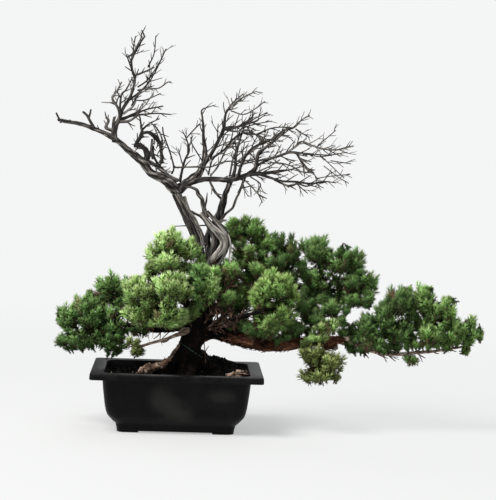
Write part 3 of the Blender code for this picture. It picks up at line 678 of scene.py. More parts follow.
LIMBS = {
    "right": [(34, 0, 150, 14), (53, -2, 153, 11.5), (75, -6, 149, 11), (96, -12, 144, 11.5),
     (121, -18, 140, 11), (152, -22, 137, 10), (186, -24, 141, 8.5), (217, -22, 147, 7.5),
     (239, -20, 147, 6.5), (255, -18, 148, 6)],
    "right_tip": [(238, -20, 147, 5.4), (260, -14, 150, 5.3), (278, -10, 140, 5.1),
     (298, -8, 132, 4.8), (320, -6, 127, 4.4), (345, -4, 126, 4.2), (374, -2, 129, 3.8),
     (403, 0, 132, 3.2), (431, 2, 137, 2.6), (454, 4, 141, 2)],
    "drop": [(217, -22, 145, 4), (226, -30, 133, 3), (218, -34, 114, 2.2), (212, -36, 102, 1.6)],
    "left": [(32, 3, 158, 8), (16, 4, 161, 7.5), (-4, 4, 157, 6.5), (-24, 2, 154, 5.6),
     (-46, 0, 153, 5), (-68, -2, 156, 4.4), (-88, -2, 162, 3.6), (-103, -2, 174, 2.8),
     (-116, 0, 186, 2)],
    "back": [(38, 8, 170, 8.5), (62, 30, 188, 7.5), (96, 50, 202, 6.6), (131, 60, 215, 5.8),
     (170, 60, 221, 5), (205, 54, 221, 4.2), (239, 48, 219, 3.4), (271, 44, 221, 2.4)],
    "back_leader": [(90, 46, 199, 4.4), (102, 60, 224, 3.6), (108, 68, 252, 2.8),
     (104, 70, 281, 2)],
    "front": [(42, -8, 165, 5), (70, -26, 173, 3.4), (96, -40, 182, 3), (122, -52, 191, 2.6),
     (142, -58, 198, 2.2)],
    "left_up": [(36, -10, 167, 6.5), (24, -30, 184, 5.6), (8, -44, 202, 5), (-9, -50, 221, 4.2),
     (-22, -46, 248, 3.4), (-20, -38, 278, 2.4)],
}
LEFT_ROOT = [(7, -4, 134, 2.4), (1, -10, 127, 3.2), (-6, -17, 118, 3.6), (-14, -25, 109, 4.2),
             (-24, -34, 103, 6), (-38, -40, 98, 6.4), (-52, -43, 95, 5.8), (-62, -46, 87, 4)]
LOW_BRANCH = [(22, -5, 153, 4.2), (3, -12, 149, 3.6), (-7, -18, 146, 2.8), (-20, -24, 141, 2.4),
              (-40, -30, 136, 2.2), (-56, -34, 131, 2), (-70, -36, 128, 1.6)]


def bark_finish(name, dark, middle, light, flake, along=(1.0, 1.0, 0.5), crack_tone=0.35):
    """Flaking bark: dark cracks between fibrous plates."""
    material, tree, shader, place = new_finish(name)
    place = put(tree, "Mapping", {"Vector": place, "Scale": along}).outputs[0]
    cells = put(tree, "TexVoronoi", {"Vector": place, "Scale": flake, "Randomness": 1.0},
                feature="DISTANCE_TO_EDGE").outputs["Distance"]
    crack = ranged(tree, cells, 0.0, 0.14, crack_tone)
    colour = mixed(tree, crack, dark, toned(tree, place, 95.0, dark, middle, light))
    feed(tree, shader, {"Base Color": colour, "Roughness": 0.9, "Specular IOR Level": 0.12})
    height = maths(tree, "ADD", crack, cloudy(tree, place, 420.0, 5.0, 0.7))
    roughen(tree, shader, height, 0.7, 0.0012)
    return material


def skin_over(name, mesh, voxel, lumps):
    """Melts overlapping limbs into one skin, then raises plates and ridges of bark on it."""
    melted = link_object(name, mesh)
    remesh = melted.modifiers.new("melt", "REMESH")
    remesh.mode = "VOXEL"
    remesh.voxel_size = voxel
    apply_modifiers(melted)
    mesh = melted.data
    normals = [vert.normal.copy() for vert in mesh.vertices]
    for vert, normal in zip(mesh.vertices, normals):
        place = vert.co / MM
        swell = noise.noise(place / 15) * lumps
        plate = noise.ridged_multi_fractal(Vector((place.x / 6, place.y / 6, place.z / 10)),
                                           0.9, 2.1, 3, 1.0, 2.0)
        vert.co += normal * (swell + (plate - 1.1) * lumps * 0.5) * MM
    mesh.shade_smooth()
    bpy.data.objects.remove(melted)
    return mesh


def lift_flakes(mesh, count, length, width, seed):
    """Adds thin strips of bark that run along a limb and lift from it at one end."""
    rng = random.Random(seed)
    built = bmesh.new()
    built.from_mesh(mesh)
    for face in rng.choices(list(mesh.polygons), k=count):
        out = face.normal.copy()
        ahead = Vector((1, rng.uniform(-0.4, 0.4), rng.uniform(-0.4, 0.4)))
        ahead = (ahead - out * ahead.dot(out)).normalized() * rng.choice((-1, 1))
        side = out.cross(ahead)
        long = length * rng.uniform(0.5, 1.3) * MM
        wide = width * rng.uniform(0.5, 1.2) * MM
        lift = rng.uniform(0.1, 0.34) * long
        rings = []
        for share, narrow in ((0.0, 0.5), (0.35, 1.0), (0.7, 0.85), (1.0, 0.35)):
            middle = face.center + ahead * long * (share - 0.4) + out * (lift * share ** 1.6)
            rings.append([built.verts.new(middle + offset) for offset in (
                side * wide * narrow - out * 0.2 * MM, out * 0.7 * MM,
                -side * wide * narrow - out * 0.2 * MM, -out * 0.5 * MM)])
        for ring, after in zip(rings, rings[1:]):
            for index in range(4):
                near = (index + 1) % 4
                built.faces.new((ring[index], ring[near], after[near], after[index]))
        built.faces.new(rings[0][::-1])
        built.faces.new(rings[-1])
    bmesh.ops.recalc_face_normals(built, faces=built.faces)
    built.to_mesh(mesh)
    built.free()


dark_bark = bark_finish("dark_bark", (0.0010, 0.0007, 0.0006), (0.0040, 0.0026, 0.0020),
                        (0.022, 0.013, 0.010), flake=230.0)
red_bark = bark_finish("red_bark", (0.006, 0.003, 0.002), (0.085, 0.034, 0.018),
                       (0.290, 0.135, 0.080), flake=170.0, along=(0.30, 1.0, 1.0))
root_bark = bark_finish("root_bark", (0.018, 0.010, 0.007), (0.190, 0.120, 0.086),
                        (0.66, 0.50, 0.40), flake=150.0, along=(0.6, 1.0, 0.8),
                        crack_tone=0.0)
torn_bark = bark_finish("torn_bark", (0.035, 0.022, 0.016), (0.340, 0.250, 0.190),
                        (0.82, 0.70, 0.60), flake=130.0, along=(0.4, 1.0, 1.0),
                        crack_tone=0.3)
twig_bark = bark_finish("twig_bark", (0.006, 0.004, 0.003), (0.055, 0.032, 0.022),
                        (0.240, 0.150, 0.110), flake=200.0)

trunk = Skin()
trunk.sweep(smooth_line(TRUNK, 5), 28)
for root in ROOTS:
    trunk.sweep(smooth_line(root, 5), 16)
for name in ("left", "back", "back_leader", "front", "left_up"):
    trunk.sweep(smooth_line(LIMBS[name], 4), 14)
trunk.sweep(smooth_line([(34, 0, 150, 14.8), (53, -2, 153, 12.4), (75, -6, 149, 11.8),
                         (92, -10, 146, 11.6), (103, -13, 144, 9)], 4), 18)
trunk_mesh = skin_over("trunk_and_limbs", trunk.mesh("trunk_and_limbs"),
                       voxel=1.6 * MM, lumps=1.7)
lift_flakes(trunk_mesh, count=420, length=8.0, width=1.6, seed=3)
add_piece("trunk_and_limbs", trunk_mesh, dark_bark,
          ("trunk", "limb_left", "limb_back", "limb_back_leader", "limb_front", "limb_left_up"))

long_limb = Skin()
long_limb.sweep(smooth_line(LIMBS["right"], 4), 20)
long_limb.sweep(smooth_line(LIMBS["drop"], 4), 10)
long_limb.sweep(smooth_line([(222, -22, 144, 6), (236, -20, 139, 5.4), (244, -19, 136, 4.8)],
                            3), 14)
limb_mesh = skin_over("long_limb", long_limb.mesh("long_limb"),
                      voxel=1.0 * MM, lumps=2.2)
lift_flakes(limb_mesh, count=520, length=7.5, width=1.4, seed=8)
add_piece("long_limb", limb_mesh, red_bark, ("limb_right", "limb_drop"))

ROOT_KNOBS = [
    [(-34, -42, 100, 3), (-29, -44, 103, 4.4), (-24, -42, 101, 3)],
    [(-60, -47, 90, 3), (-54, -49, 95, 4.4), (-48, -47, 95, 3)],
    [(-22, -38, 105, 2.5), (-17, -38, 109, 3.4), (-12, -33, 110, 2.5)],
    [(-50, -42, 101, 2.5), (-45, -44, 104, 3.4), (-40, -42, 102, 2.5)],
    [(-32, -36, 96, 4), (-42, -36, 92, 5), (-50, -40, 87, 4)],
]
surface_root = Skin()
surface_root.sweep(smooth_line(LEFT_ROOT, 4), 18)
for knob in ROOT_KNOBS:
    surface_root.sweep(smooth_line(knob, 2), 12)
root_mesh = skin_over("surface_root", surface_root.mesh("surface_root"),
                      voxel=0.8 * MM, lumps=2.8)
add_piece("surface_root", root_mesh, root_bark)

THIN_WOOD = [
    LOW_BRANCH,
    [(26, -3, 153, 4), (17, -9, 154, 5.2), (8, -12, 153.5, 5), (2, -13, 152, 3)],
    [(-15, -22, 142, 2.5), (-21, -22, 139, 3.8), (-26, -23, 138, 2.4)],
    [(-44, -26, 154, 0.8), (-46, -29, 146, 0.7), (-44, -30, 138, 0.5)],
    [(-40, -24, 154, 0.7), (-39, -28, 147, 0.6), (-41, -30, 141, 0.5)],
]
thin_branch = Skin()
for route in THIN_WOOD:
    thin_branch.sweep(smooth_line(route, 2), 10)
outer_limb = smooth_line(LIMBS["right_tip"], 4)
outer_limb[:, 3] *= 0.72
thin_branch.sweep(outer_limb, 12)
branch_mesh = skin_over("low_branch", thin_branch.mesh("low_branch"),
                        voxel=0.55 * MM, lumps=0.5)
add_piece("low_branch", branch_mesh, torn_bark,
          ("branch_left_low", "limb_right_tip"))

# ---------------------------------------------------------------------------------------------
# Bits of bark: two flaked lumps that lie on the soil at the front right of the pot.

for name, shift in (("bark_bit_front", Vector((9, 5, 5))), ("bark_bit_back", Vector((3, 0, 4)))):
    low, high = (Vector(corner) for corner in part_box(name))
    middle, size = (low + high) / 2 + shift * MM, high - low
    rng = random.Random(name)
    chips = bmesh.new()
    for _ in range(9):
        turn = (Matrix.Rotation(rng.uniform(-0.5, 0.5), 3, "Z")
                @ Matrix.Rotation(rng.uniform(-0.5, 0.5), 3, "Y")
                @ Matrix.Rotation(rng.uniform(-0.6, 0.6), 3, "X"))
        half = Vector((size.x * rng.uniform(0.20, 0.36), size.y * rng.uniform(0.16, 0.30),
                       size.z * rng.uniform(0.10, 0.20)))
        place = middle + Vector([rng.uniform(-0.26, 0.26) * span for span in size])
        for vert in bmesh.ops.create_icosphere(chips, subdivisions=3, radius=1.0)["verts"]:
            rough = 1.0 + 0.30 * noise.noise(vert.co * 1.9 + place * 900)
            rough += 0.16 * noise.noise(vert.co * 5.0 + place * 700)
            vert.co = place + turn @ (vert.co * half * rough)
    mesh = bpy.data.meshes.new("flaked_" + name)
    chips.to_mesh(mesh)
    chips.free()
    mesh.shade_smooth()
    add_piece("flaked_" + name, mesh, root_bark, (name,))

# ---------------------------------------------------------------------------------------------
# Tie wire: one turn of thin green coated wire across the front of the trunk.



def surface_of(mesh):
    """A mesh's surface, to find the nearest place on it or where a line meets it."""
    return BVHTree.FromPolygons([vert.co for vert in mesh.vertices],
                                [tuple(face.vertices) for face in mesh.polygons])


wire_finish, tree, shader, place = new_finish("coated_wire")
tone = toned(tree, place, 120.0, (0.010, 0.030, 0.018), (0.020, 0.060, 0.036),
             (0.050, 0.120, 0.080))
feed(tree, shader, {"Base Color": tone, "Roughness": 0.38})
bark_skin = surface_of(trunk_mesh)
wire_line = []
for x, z in ((3, 135), (9, 132), (15, 128.5), (21, 124.5), (27, 120.5), (33, 116.5), (38, 113)):
    start = Vector((x, -90, z)) * MM + pot_middle
    touch = bark_skin.ray_cast(start, Vector((0, 1, 0)))[0]
    wire_line.append((x, (touch - pot_middle).y / MM - 0.3, z, 0.8))
wire = Skin()
wire.sweep(smooth_line(wire_line, 2), 10)
add_piece("coated_wire", wire.mesh("coated_wire"), wire_finish, ("tie_wire",))

# ---------------------------------------------------------------------------------------------
# Deadwood: two bare stems that rise out of the foliage, stripped, bleached and twisted, with
# deep grooves that wind round them. A dead leader leans left and a dead crown fans out right.


def grooves(depth, seed, counts=(3, 5, 9, 14), lumps=1.0):
    """Relief of a stripped stem: sharp valleys between rounded strands, drifting as they go."""
    rng = random.Random(seed)
    waves = [(count, 1.0 / count ** 0.45, rng.uniform(0, math.tau), rng.uniform(0.4, 1.1),
              rng.uniform(14, 40)) for count in counts]

    def relief(turned, along):
        total = np.zeros(np.broadcast(turned, along).shape)
        for count, share, phase, wander, length in waves:
            drift = phase + wander * np.sin(along / length + phase * 3)
            total += share * (np.abs(np.sin(count * turned / 2 + drift)) ** 0.6 - 0.74)
        total += 0.30 * lumps * np.sin(along / 4.7 + 2 * turned + waves[0][2])
        total += 0.22 * lumps * np.sin(along / 2.1 + 3 * turned + waves[-1][2])
        return depth * total

    return relief


def strands(skin, route, count, offset, share, turns, seed, bleach):
    """A stem as a rope of strands that wind round its route, some ending before the others."""
    rng = random.Random(seed)
    line = smooth_line(route, 3)
    for index in range(count):
        part = line[:int(len(line) * (1.0 if index % 3 else 1.0 - rng.uniform(0.0, 0.12)))]
        ahead, beside, over = line_frames(part[:, :3])
        travel = np.linspace(0, 1, len(part))
        angle = math.tau * (index / count + turns * travel) + 0.4 * np.sin(travel * 9 + index)
        away = offset * part[:, 3] * (1 + 0.15 * np.sin(travel * 14 + index * 2))
        strand = part.copy()
        strand[:, :3] += (away * np.cos(angle))[:, None] * beside
        strand[:, :3] += (away * np.sin(angle))[:, None] * over
        strand[:, 3] *= share * rng.uniform(0.85, 1.15)
        strand[:, 3] *= 1 + 0.10 * np.sin(travel * 17 + index * 5)
        skin.sweep(strand, 22, grooves(0.29, seed + index), 0.02 * turns, bleach, rng.random())


# Tones of weathered wood, from the bottom of a groove, darkened as painted shade, to a bleached
# ridge
WOOD_TONES = ((0.18, (0.006, 0.005, 0.005)), (0.34, (0.030, 0.027, 0.025)),
              (0.50, (0.115, 0.103, 0.094)), (0.68, (0.330, 0.305, 0.280)),
              (0.92, (0.66, 0.61, 0.56)))


def bare_wood_finish():
    """Weathered wood: silver and cream streaks along the grain, and painted shade that darkens the
    grooves.
    """
    material, tree, shader, _ = new_finish("bare_wood")
    flow = put(tree, "Attribute", attribute_name="grain").outputs["Vector"]
    kept = put(tree, "Attribute", attribute_name="shade").outputs["Color"]
    tones = put(tree, "SeparateColor", {0: kept}).outputs

    def fibres(across, along, detail, roughness=0.5):
        grain = put(tree, "Mapping", {"Vector": flow, "Scale": (across, across, along)})
        return cloudy(tree, grain.outputs[0], 1.0, detail, roughness)

    level = maths(tree, "ADD", ranged(tree, tones["Red"], 0.0, 1.0, -0.20, 0.26),
                  fibres(0.5, 0.035, 7.0, 0.66))
    # Painted shade: the blue channel darkens the wood in its grooves
    level = maths(tree, "ADD", level, ranged(tree, tones["Blue"], 0.1, 0.8, -0.46, 0.18))
    weather = put(tree, "ValToRGB", {"Fac": level})
    ramp = weather.color_ramp.elements
    ramp.remove(ramp[1])
    for index, (position, colour) in enumerate(WOOD_TONES):
        step = ramp.new(position) if index else ramp[0]
        step.position, step.color = position, (*colour, 1.0)
    split = maths(tree, "SUBTRACT", fibres(0.17, 0.012, 3.0), 0.5)
    split = ranged(tree, maths(tree, "ABSOLUTE", split), 0.004, 0.030, 0.22)
    checked = put(tree, "HueSaturation", {"Value": split, "Color": weather.outputs["Color"]})
    feed(tree, shader, {"Base Color": checked.outputs["Color"], "Roughness": 0.82,
                        "Specular IOR Level": 0.3})
    roughen(tree, shader, fibres(2.2, 0.12, 4.0), 0.5, 0.0008)
    return material


bare_wood = bare_wood_finish()

# Strands of the two stems: share of bleaching and route of each
STEM_STRANDS = [
    # The twisted stem: a black heart, and bands that wind over its front and back.
    (0.00, [(36, 4, 328, 3.7), (49, 4, 316, 6), (59, 4, 304, 9), (61, 4, 292, 10),
     (57, 4, 279, 10), (54, 3, 266, 10.5), (49, 0, 252, 10), (48, 0, 234, 11), (44, 0, 215, 11.5),
     (40, 0, 199, 11.5)]),
    (0.95, [(29, -4, 338, 2.8), (38, -5, 327, 3.4), (47, -7, 317, 4.3), (57, -9, 308, 5.3),
     (65, -9, 299, 5.9), (66, -9, 290, 5.9), (61, -9, 280, 5.9), (52, -8, 270, 5.4),
     (44, -7, 261, 4.7), (35, -5, 252, 3.9)]),
    (0.72, [(39, -3, 341, 2.5), (47, -3, 332, 3.1), (55, -3, 323, 3.7), (62, -3, 316, 4.7),
     (68, -2, 308, 4.7), (71, -2, 296, 4), (71, -3, 283, 3.2), (66, -5, 271, 2.8),
     (60, -6, 261, 2.6), (50, -5, 253, 2.4)]),
    (0.30, [(31, -2, 335, 3.4), (38, -3, 325, 3.7), (44, -3, 315, 4), (49, -5, 306, 4.4),
     (51, -7, 295, 4.7), (49, -7, 284, 4.3), (46, -6, 273, 4), (43, -5, 264, 3.4)]),
    (0.12, [(46, 1, 310, 2.3), (41, 0, 305, 3.1), (39, -1, 298, 3.7), (40, -2, 287, 3.7),
     (42, -2, 276, 3.7), (44, -2, 265, 3.1)]),
    (0.75, [(48, -11, 300, 1.4), (47, -11, 287, 1.6), (46, -10, 276, 1.4), (43, -8, 267, 0.9)]),
    (0.95, [(73, -5, 306, 1.0), (76, -6, 296, 1.6), (77, -6, 285, 1.8), (76, -6, 276, 1.4),
     (75, -6, 264, 0.5)]),
    (0.55, [(38, 9, 328, 4), (52, 11, 312, 5), (62, 12, 295, 5.5), (58, 12, 275, 5.5),
     (50, 10, 255, 5), (46, 9, 230, 5)]),
    (0.35, [(44, 9, 314, 4), (41, 11, 297, 4.5), (45, 11, 275, 4.5), (49, 9, 252, 4)]),
    (0.70, [(58, -4, 322, 2.5), (63, -6, 327, 2.2), (69, -8, 328, 1.4)]),
    (0.65, [(39, -4, 291, 1.2), (36, -6, 290, 1.1), (34, -6, 286, 1.1), (37, -6, 283, 0.9)]),
    (0.65, [(41, -5, 287, 1.1), (39, -7, 283, 1.1), (41, -7, 280, 0.9)]),
    # The left stem: a dark body with paler ribs.
    (0.20, [(-10, 10, 367, 7), (-3, 11, 352, 7.2), (3, 12, 339, 6.9), (9, 12, 327, 7.2),
     (15, 12, 315, 6.6), (20, 12, 302, 5.9), (25, 11, 289, 5.6), (32, 9, 270, 5.9),
     (37, 6, 252, 6.9)]),
    (0.62, [(2, 7, 362, 3.7), (7, 6, 348, 3.4), (12, 6, 338, 3.1), (18, 6, 329, 4.1),
     (23, 5, 320, 3.7), (28, 5, 309, 3.4), (32, 5, 299, 2.8), (33, 6, 286, 2.2)]),
    (0.52, [(-7, 4, 368, 3.1), (1, 4, 356, 2.5), (7, 5, 346, 2.3), (13, 5, 337, 2),
     (19, 5, 323, 1.9)]),
    (0.78, [(25, 1, 319, 1.6), (31, 0, 308, 2.2), (35, 1, 296, 2.3), (33, 2, 285, 1.7),
     (28, 4, 277, 1.2)]),
    (0.25, [(14, 6, 339, 2.5), (21, 4, 336, 2), (28, 2, 333, 2), (36, 0, 326, 2.5)]),
    (0.40, [(-12, 15, 366, 4.5), (0, 17, 345, 5), (12, 18, 322, 5), (24, 18, 298, 5),
     (34, 16, 272, 5), (46, 10, 242, 5)]),
]

stems = Skin()
for index, (bleach, route) in enumerate(STEM_STRANDS):
    thick = max(point[3] for point in route) > 3
    sides, counts = (26, (3, 5, 9, 14)) if thick else (12, (3, 5))
    stems.sweep(smooth_line(route, 1.6), sides, grooves(0.25, 5 + index, counts, 0.2), 0.004,
                bleach, (0.37 * index) % 1.0)
add_piece("dead_stems", stems.mesh("dead_stems"), bare_wood,
          ("deadwood_twisted", "deadwood_left"))

cut_end = Skin()
cut_end.sweep(smooth_line([(243, -19, 136.5, 4.6), (247, -18.6, 134.8, 4.3)], 1.5), 16,
              grooves(0.10, 3), 0.0, 0.95, 0.4)
add_piece("cut_end", cut_end.mesh("cut_end"), bare_wood)

RISER = [(54, 7, 322, 7), (60, 6, 341, 6), (64, 4, 358, 4.8), (68, 1, 374, 4.6),
         (75, -5, 391, 4.2)]
STRAND = [(56, 3, 321, 2.4), (68, -6, 338, 1.9), (78, -12, 348, 2), (83, -14, 362, 1.9),
          (89, -13, 376, 1.8), (94, -11, 394, 1.6)]
SNAG = [(38, -2, 331, 5), (32, -5, 351, 3.4), (30, -6, 360, 3.2), (24, -6, 367, 3.2),
        (22, -3, 373, 2.6), (13, 3, 377, 2.1), (1, 9, 378, 2)]
SNAG_STUB = [(34, -4, 343, 2.2), (37, -10, 357, 1.5), (38, -12, 370, 0.6)]
STRUT = [(40, 1, 390, 1.6), (47, 2, 377, 1.8), (53, 3, 368, 1.9), (62, 4, 359, 1.8)]
LINK = [(8, 12, 343, 1.6), (20, 4, 336, 1.5), (33, 0, 331, 1.8)]
CROSS_TWIG = [(-14, 30, 314, 0.7), (13, 30, 316, 0.9), (38, 16, 318, 1.1), (52, 6, 322, 1.2)]

LEADER = [(-8, 10, 368, 8.6), (-23, 5, 384, 7.8), (-39, 0, 392, 7), (-52, -5, 399, 6.3),
          (-63, -10, 413, 5.6), (-74, -15, 423, 5), (-89, -20, 435, 4.5), (-106, -25, 448, 4),
          (-123, -30, 457, 3.5), (-144, -33, 465, 3.3), (-161, -37, 470, 3.1),
          (-177, -41, 472, 2.9), (-189, -43, 474, 2.7), (-193, -44, 475, 2.0)]
LEFT_SPRAYS = [
    [(-106, -25, 444, 5), (-108, -24, 459, 4.8), (-106, -23, 470, 4.4), (-101, -22, 479, 3.4),
     (-96, -20, 495, 2.6), (-87, -20, 510, 2.4), (-81, -22, 526, 2.2), (-79, -24, 541, 2.1),
     (-82, -26, 552, 1.9), (-87, -28, 564, 1.3), (-92, -30, 576, 0.9), (-95, -30, 582, 0.4)],
    [(-98, -22, 484, 2), (-105, -30, 499, 1.9), (-112, -35, 509, 1.6), (-106, -40, 520, 1.2),
     (-99, -45, 535, 0.5)],
    [(-82, -25, 548, 1.6), (-84, -32, 570, 1.3), (-78, -36, 588, 1.1), (-71, -40, 603, 0.8),
     (-69, -42, 614, 0.4)],
    [(-101, -22, 478, 2.4), (-88, -16, 483, 2.2), (-74, -10, 489, 1.7), (-59, -5, 496, 1.1),
     (-36, 0, 502, 0.5)],
    [(-87, -20, 510, 1.8), (-74, -14, 519, 1.6), (-59, -10, 535, 1.3), (-50, -8, 550, 1),
     (-41, -6, 569, 0.7), (-32, -5, 590, 0.4)],
    [(-61, -10, 412, 3.4), (-58, -6, 430, 3), (-65, -4, 439, 2.8), (-74, -6, 438, 2.4),
     (-70, -8, 450, 2), (-66, -6, 462, 1.7), (-61, -5, 468, 1.3), (-52, -2, 476, 0.9),
     (-40, 0, 481, 0.4)],
    [(-60, -10, 412, 2.2), (-43, -2, 410, 2.2), (-32, 3, 401, 2.5), (-19, 7, 386, 2.8)],
    [(-37, 1, 405, 1.7), (-34, 4, 426, 1.6), (-38, 8, 446, 1.3), (-45, 12, 463, 0.9),
     (-51, 15, 475, 0.4)],
]
UPRIGHT_LIMB = [(-7, 10, 371, 7), (3, 15, 382, 6.5), (15, 20, 391, 6), (26, 24, 401, 5),
                (32, 26, 417, 4.4), (33, 28, 436, 3.6), (30, 30, 454, 2.6), (29, 32, 473, 2),
                (27, 33, 487, 1.6), (26, 34, 498, 1.2), (36, 35, 503, 0.9), (48, 36, 507, 0.4)]
LEVEL_LIMB = [(-4, 11, 374, 6), (14, 8, 385, 4.8), (31, 3, 390, 4.2), (51, -2, 391, 4),
              (70, -6, 391, 4.2), (85, -10, 394, 4), (100, -12, 400, 3.6), (116, -14, 402, 3.2),
              (131, -16, 404, 2.6), (149, -18, 408, 1.6), (168, -20, 410, 0.7)]
CROWN = [
    [(-5, 14, 385, 2.4), (-2, 18, 403, 2), (2, 21, 419, 1.8), (8, 24, 435, 1.6), (3, 26, 452, 1.1),
     (-4, 28, 466, 0.5)],
    [(116, -14, 402, 2.6), (137, -20, 396, 2), (153, -24, 392, 1.8), (174, -28, 392, 1.6),
     (192, -32, 390, 1.5), (211, -35, 392, 1.3), (223, -38, 394, 1), (235, -40, 392, 0.4)],
    [(32, 26, 413, 3.6), (39, 21, 423, 3.2), (47, 16, 438, 3), (55, 13, 455, 2.8),
     (61, 10, 471, 2.8), (62, 8, 487, 2), (65, 6, 497, 1.6), (77, 3, 510, 1.2), (93, 0, 522, 0.8),
     (109, -2, 530, 0.4)],
    [(61, 10, 470, 2.4), (75, 6, 471, 2.2), (92, 2, 477, 1.8), (109, -2, 483, 1.2),
     (127, -5, 496, 0.4)],
    [(34, 24, 419, 2.4), (47, 30, 425, 2), (63, 36, 437, 1.7), (77, 40, 454, 1.6),
     (92, 44, 464, 1.5), (113, 48, 463, 1.1), (132, 50, 455, 0.8), (152, 52, 452, 0.4)],
    [(76, -7, 391, 3), (80, -2, 408, 2.6), (81, 2, 425, 2.2), (84, 6, 444, 1.8), (89, 8, 463, 1.5),
     (95, 10, 478, 1), (107, 12, 494, 0.4)],
    [(85, -10, 393, 2.8), (89, -22, 415, 2.2), (101, -30, 437, 2), (119, -36, 450, 1.8),
     (136, -40, 457, 1.7), (150, -44, 469, 1.5), (167, -48, 475, 1.2), (178, -50, 487, 0.9),
     (189, -51, 495, 0.4)],
    [(100, -12, 399, 3.6), (112, -8, 411, 3.4), (114, -5, 425, 2.8), (118, -6, 437, 2.4),
     (130, -10, 446, 2), (143, -15, 457, 1.6), (159, -20, 470, 0.8)],
    [(113, -7, 414, 2.4), (131, -6, 424, 2), (149, -9, 431, 1.9), (166, -13, 437, 1.7),
     (184, -18, 436, 1.4), (204, -23, 435, 1.1), (225, -28, 435, 0.8), (252, -31, 440, 0.4)],
    [(159, -12, 435, 1.5), (171, -22, 446, 1.4), (181, -29, 454, 1.3), (198, -34, 448, 1.4),
     (213, -37, 444, 1.2), (231, -40, 443, 0.9), (254, -43, 450, 0.4)],
    [(175, -16, 436, 1.6), (182, -12, 424, 1.7), (193, -10, 412, 1.6), (203, -10, 406, 0.9)],
]

limbs = Skin()
strands(limbs, LEADER[:9], 3, offset=0.34, share=0.72, turns=0.45, seed=41, bleach=0.40)
limbs.sweep(smooth_line(LEADER[7:], 3), 12, grooves(0.16, 44), 0.03, 0.35, 0.3)
strands(limbs, UPRIGHT_LIMB[:6], 3, offset=0.30, share=0.74, turns=0.30, seed=51, bleach=0.30)
limbs.sweep(smooth_line(UPRIGHT_LIMB[4:], 3), 12, grooves(0.14, 52), 0.02, 0.25, 0.6)
strands(limbs, RISER, 2, offset=0.30, share=0.80, turns=0.30, seed=61, bleach=0.10)
for index, (route, bleach) in enumerate([(LEVEL_LIMB, 0.20), (STRAND, 0.35), (SNAG, 0.35),
                                         (SNAG_STUB, 0.35), (STRUT, 0.15), (LINK, 0.10),
                                         (CROSS_TWIG, 0.05)]):
    limbs.sweep(smooth_line(route, 3), 14, grooves(0.16, 70 + index), 0.03, bleach,
                0.13 * index)
for routes, seed, bleach, rest in ((LEFT_SPRAYS, 90, 0.28, 0.09), (CROWN, 110, 0.22, 0.08)):
    for index, route in enumerate(routes):
        limbs.sweep(smooth_line(route, 3), 9, grooves(0.14, seed + index, (3, 5)), 0.03,
                    bleach, rest * index)
add_piece("dead_limbs", limbs.mesh("dead_limbs"), bare_wood,
          ("deadwood_riser", "deadwood_strand", "deadwood_snag", "dead_leader",
           "dead_spray_left", "dead_spray_left_inner", "dead_spray_left_upper",
           "dead_spray_middle", "dead_loop_middle", "dead_limb_upright", "dead_limb_level",
           "dead_crown_left", "dead_crown_back", "dead_crown_middle", "dead_crown_front",
           "dead_crown_fork", "dead_crown_right", "dead_crown_far_right", "dead_twig_cross"))

# ---------------------------------------------------------------------------------------------
# Dead twigs: the brittle ends of the dead limbs, forked again and again. Those on the left reach
# up and to the right, and those of the crown fan out to the right.


# Distance between a twig's bends, and the least length and radius of a fork (mm)
TWIG_STEP = 7.0
SHORTEST_TWIG = 9.0
THINNEST_TWIG = 0.55


def grow_twig(skin, rng, start, heading, length, radius, sweep_to, generation):
    """A crooked twig that bends towards where its limb was growing, and forks on the way."""
    steps = max(3, int(length / TWIG_STEP))
    place, ahead = Vector(start), Vector(heading).normalized()
    line = [(*place, radius)]
    side = rng.choice((-1, 1))
    for step in range(1, steps + 1):
        wander = Vector([rng.gauss(0, 0.11) for _ in range(3)])
        ahead = (ahead + wander + 0.07 * Vector(sweep_to)).normalized()
        place = place + ahead * length / steps
        thick = radius * (1 - 0.45 * step / steps)
        line.append((*place, thick))
        branch = length * rng.uniform(0.45, 0.8)
        if generation and step < steps and branch > SHORTEST_TWIG and rng.random() < 0.5:
            turn = rng.uniform(0.35, 0.75) * side
            side = -side
            out = ahead.cross(Vector((rng.gauss(0, 0.35), 1.0, rng.gauss(0, 0.35)))).normalized()
            grow_twig(skin, rng, place, ahead + out * turn, branch,
                      max(THINNEST_TWIG, thick * 0.85), sweep_to, generation - 1)
    skin.sweep(np.array(line), 5, None, 0.0, rng.uniform(0.1, 0.85), rng.random())


def twigs_along(skin, rng, route, first, spacing, length, sweep_to, generation):
    """Twigs off both sides of a dead limb, from a share of its length to its end."""
    line = smooth_line(route, 2)
    steps = np.linalg.norm(np.diff(line[:, :3], axis=0), axis=1)
    along = np.concatenate([[0.0], np.cumsum(steps)])
    at = along[-1] * first
    side = rng.choice((-1, 1))
    while at < along[-1]:
        index = int(np.searchsorted(along, at))
        index = min(max(index, 1), len(line) - 2)
        ahead = Vector(line[index + 1, :3] - line[index - 1, :3]).normalized()
        out = ahead.cross(Vector((rng.gauss(0, 0.4), 1.0, rng.gauss(0, 0.4)))).normalized()
        left = 1.0 - 0.5 * at / along[-1]
        radius = max(0.75, min(1.25, line[index, 3] * 0.75))
        grow_twig(skin, rng, line[index, :3], ahead + out * side * rng.uniform(0.5, 1.1),
                  length * left * rng.uniform(0.6, 1.2), radius, sweep_to, generation)
        side = -side
        at += spacing * rng.uniform(0.6, 1.4)


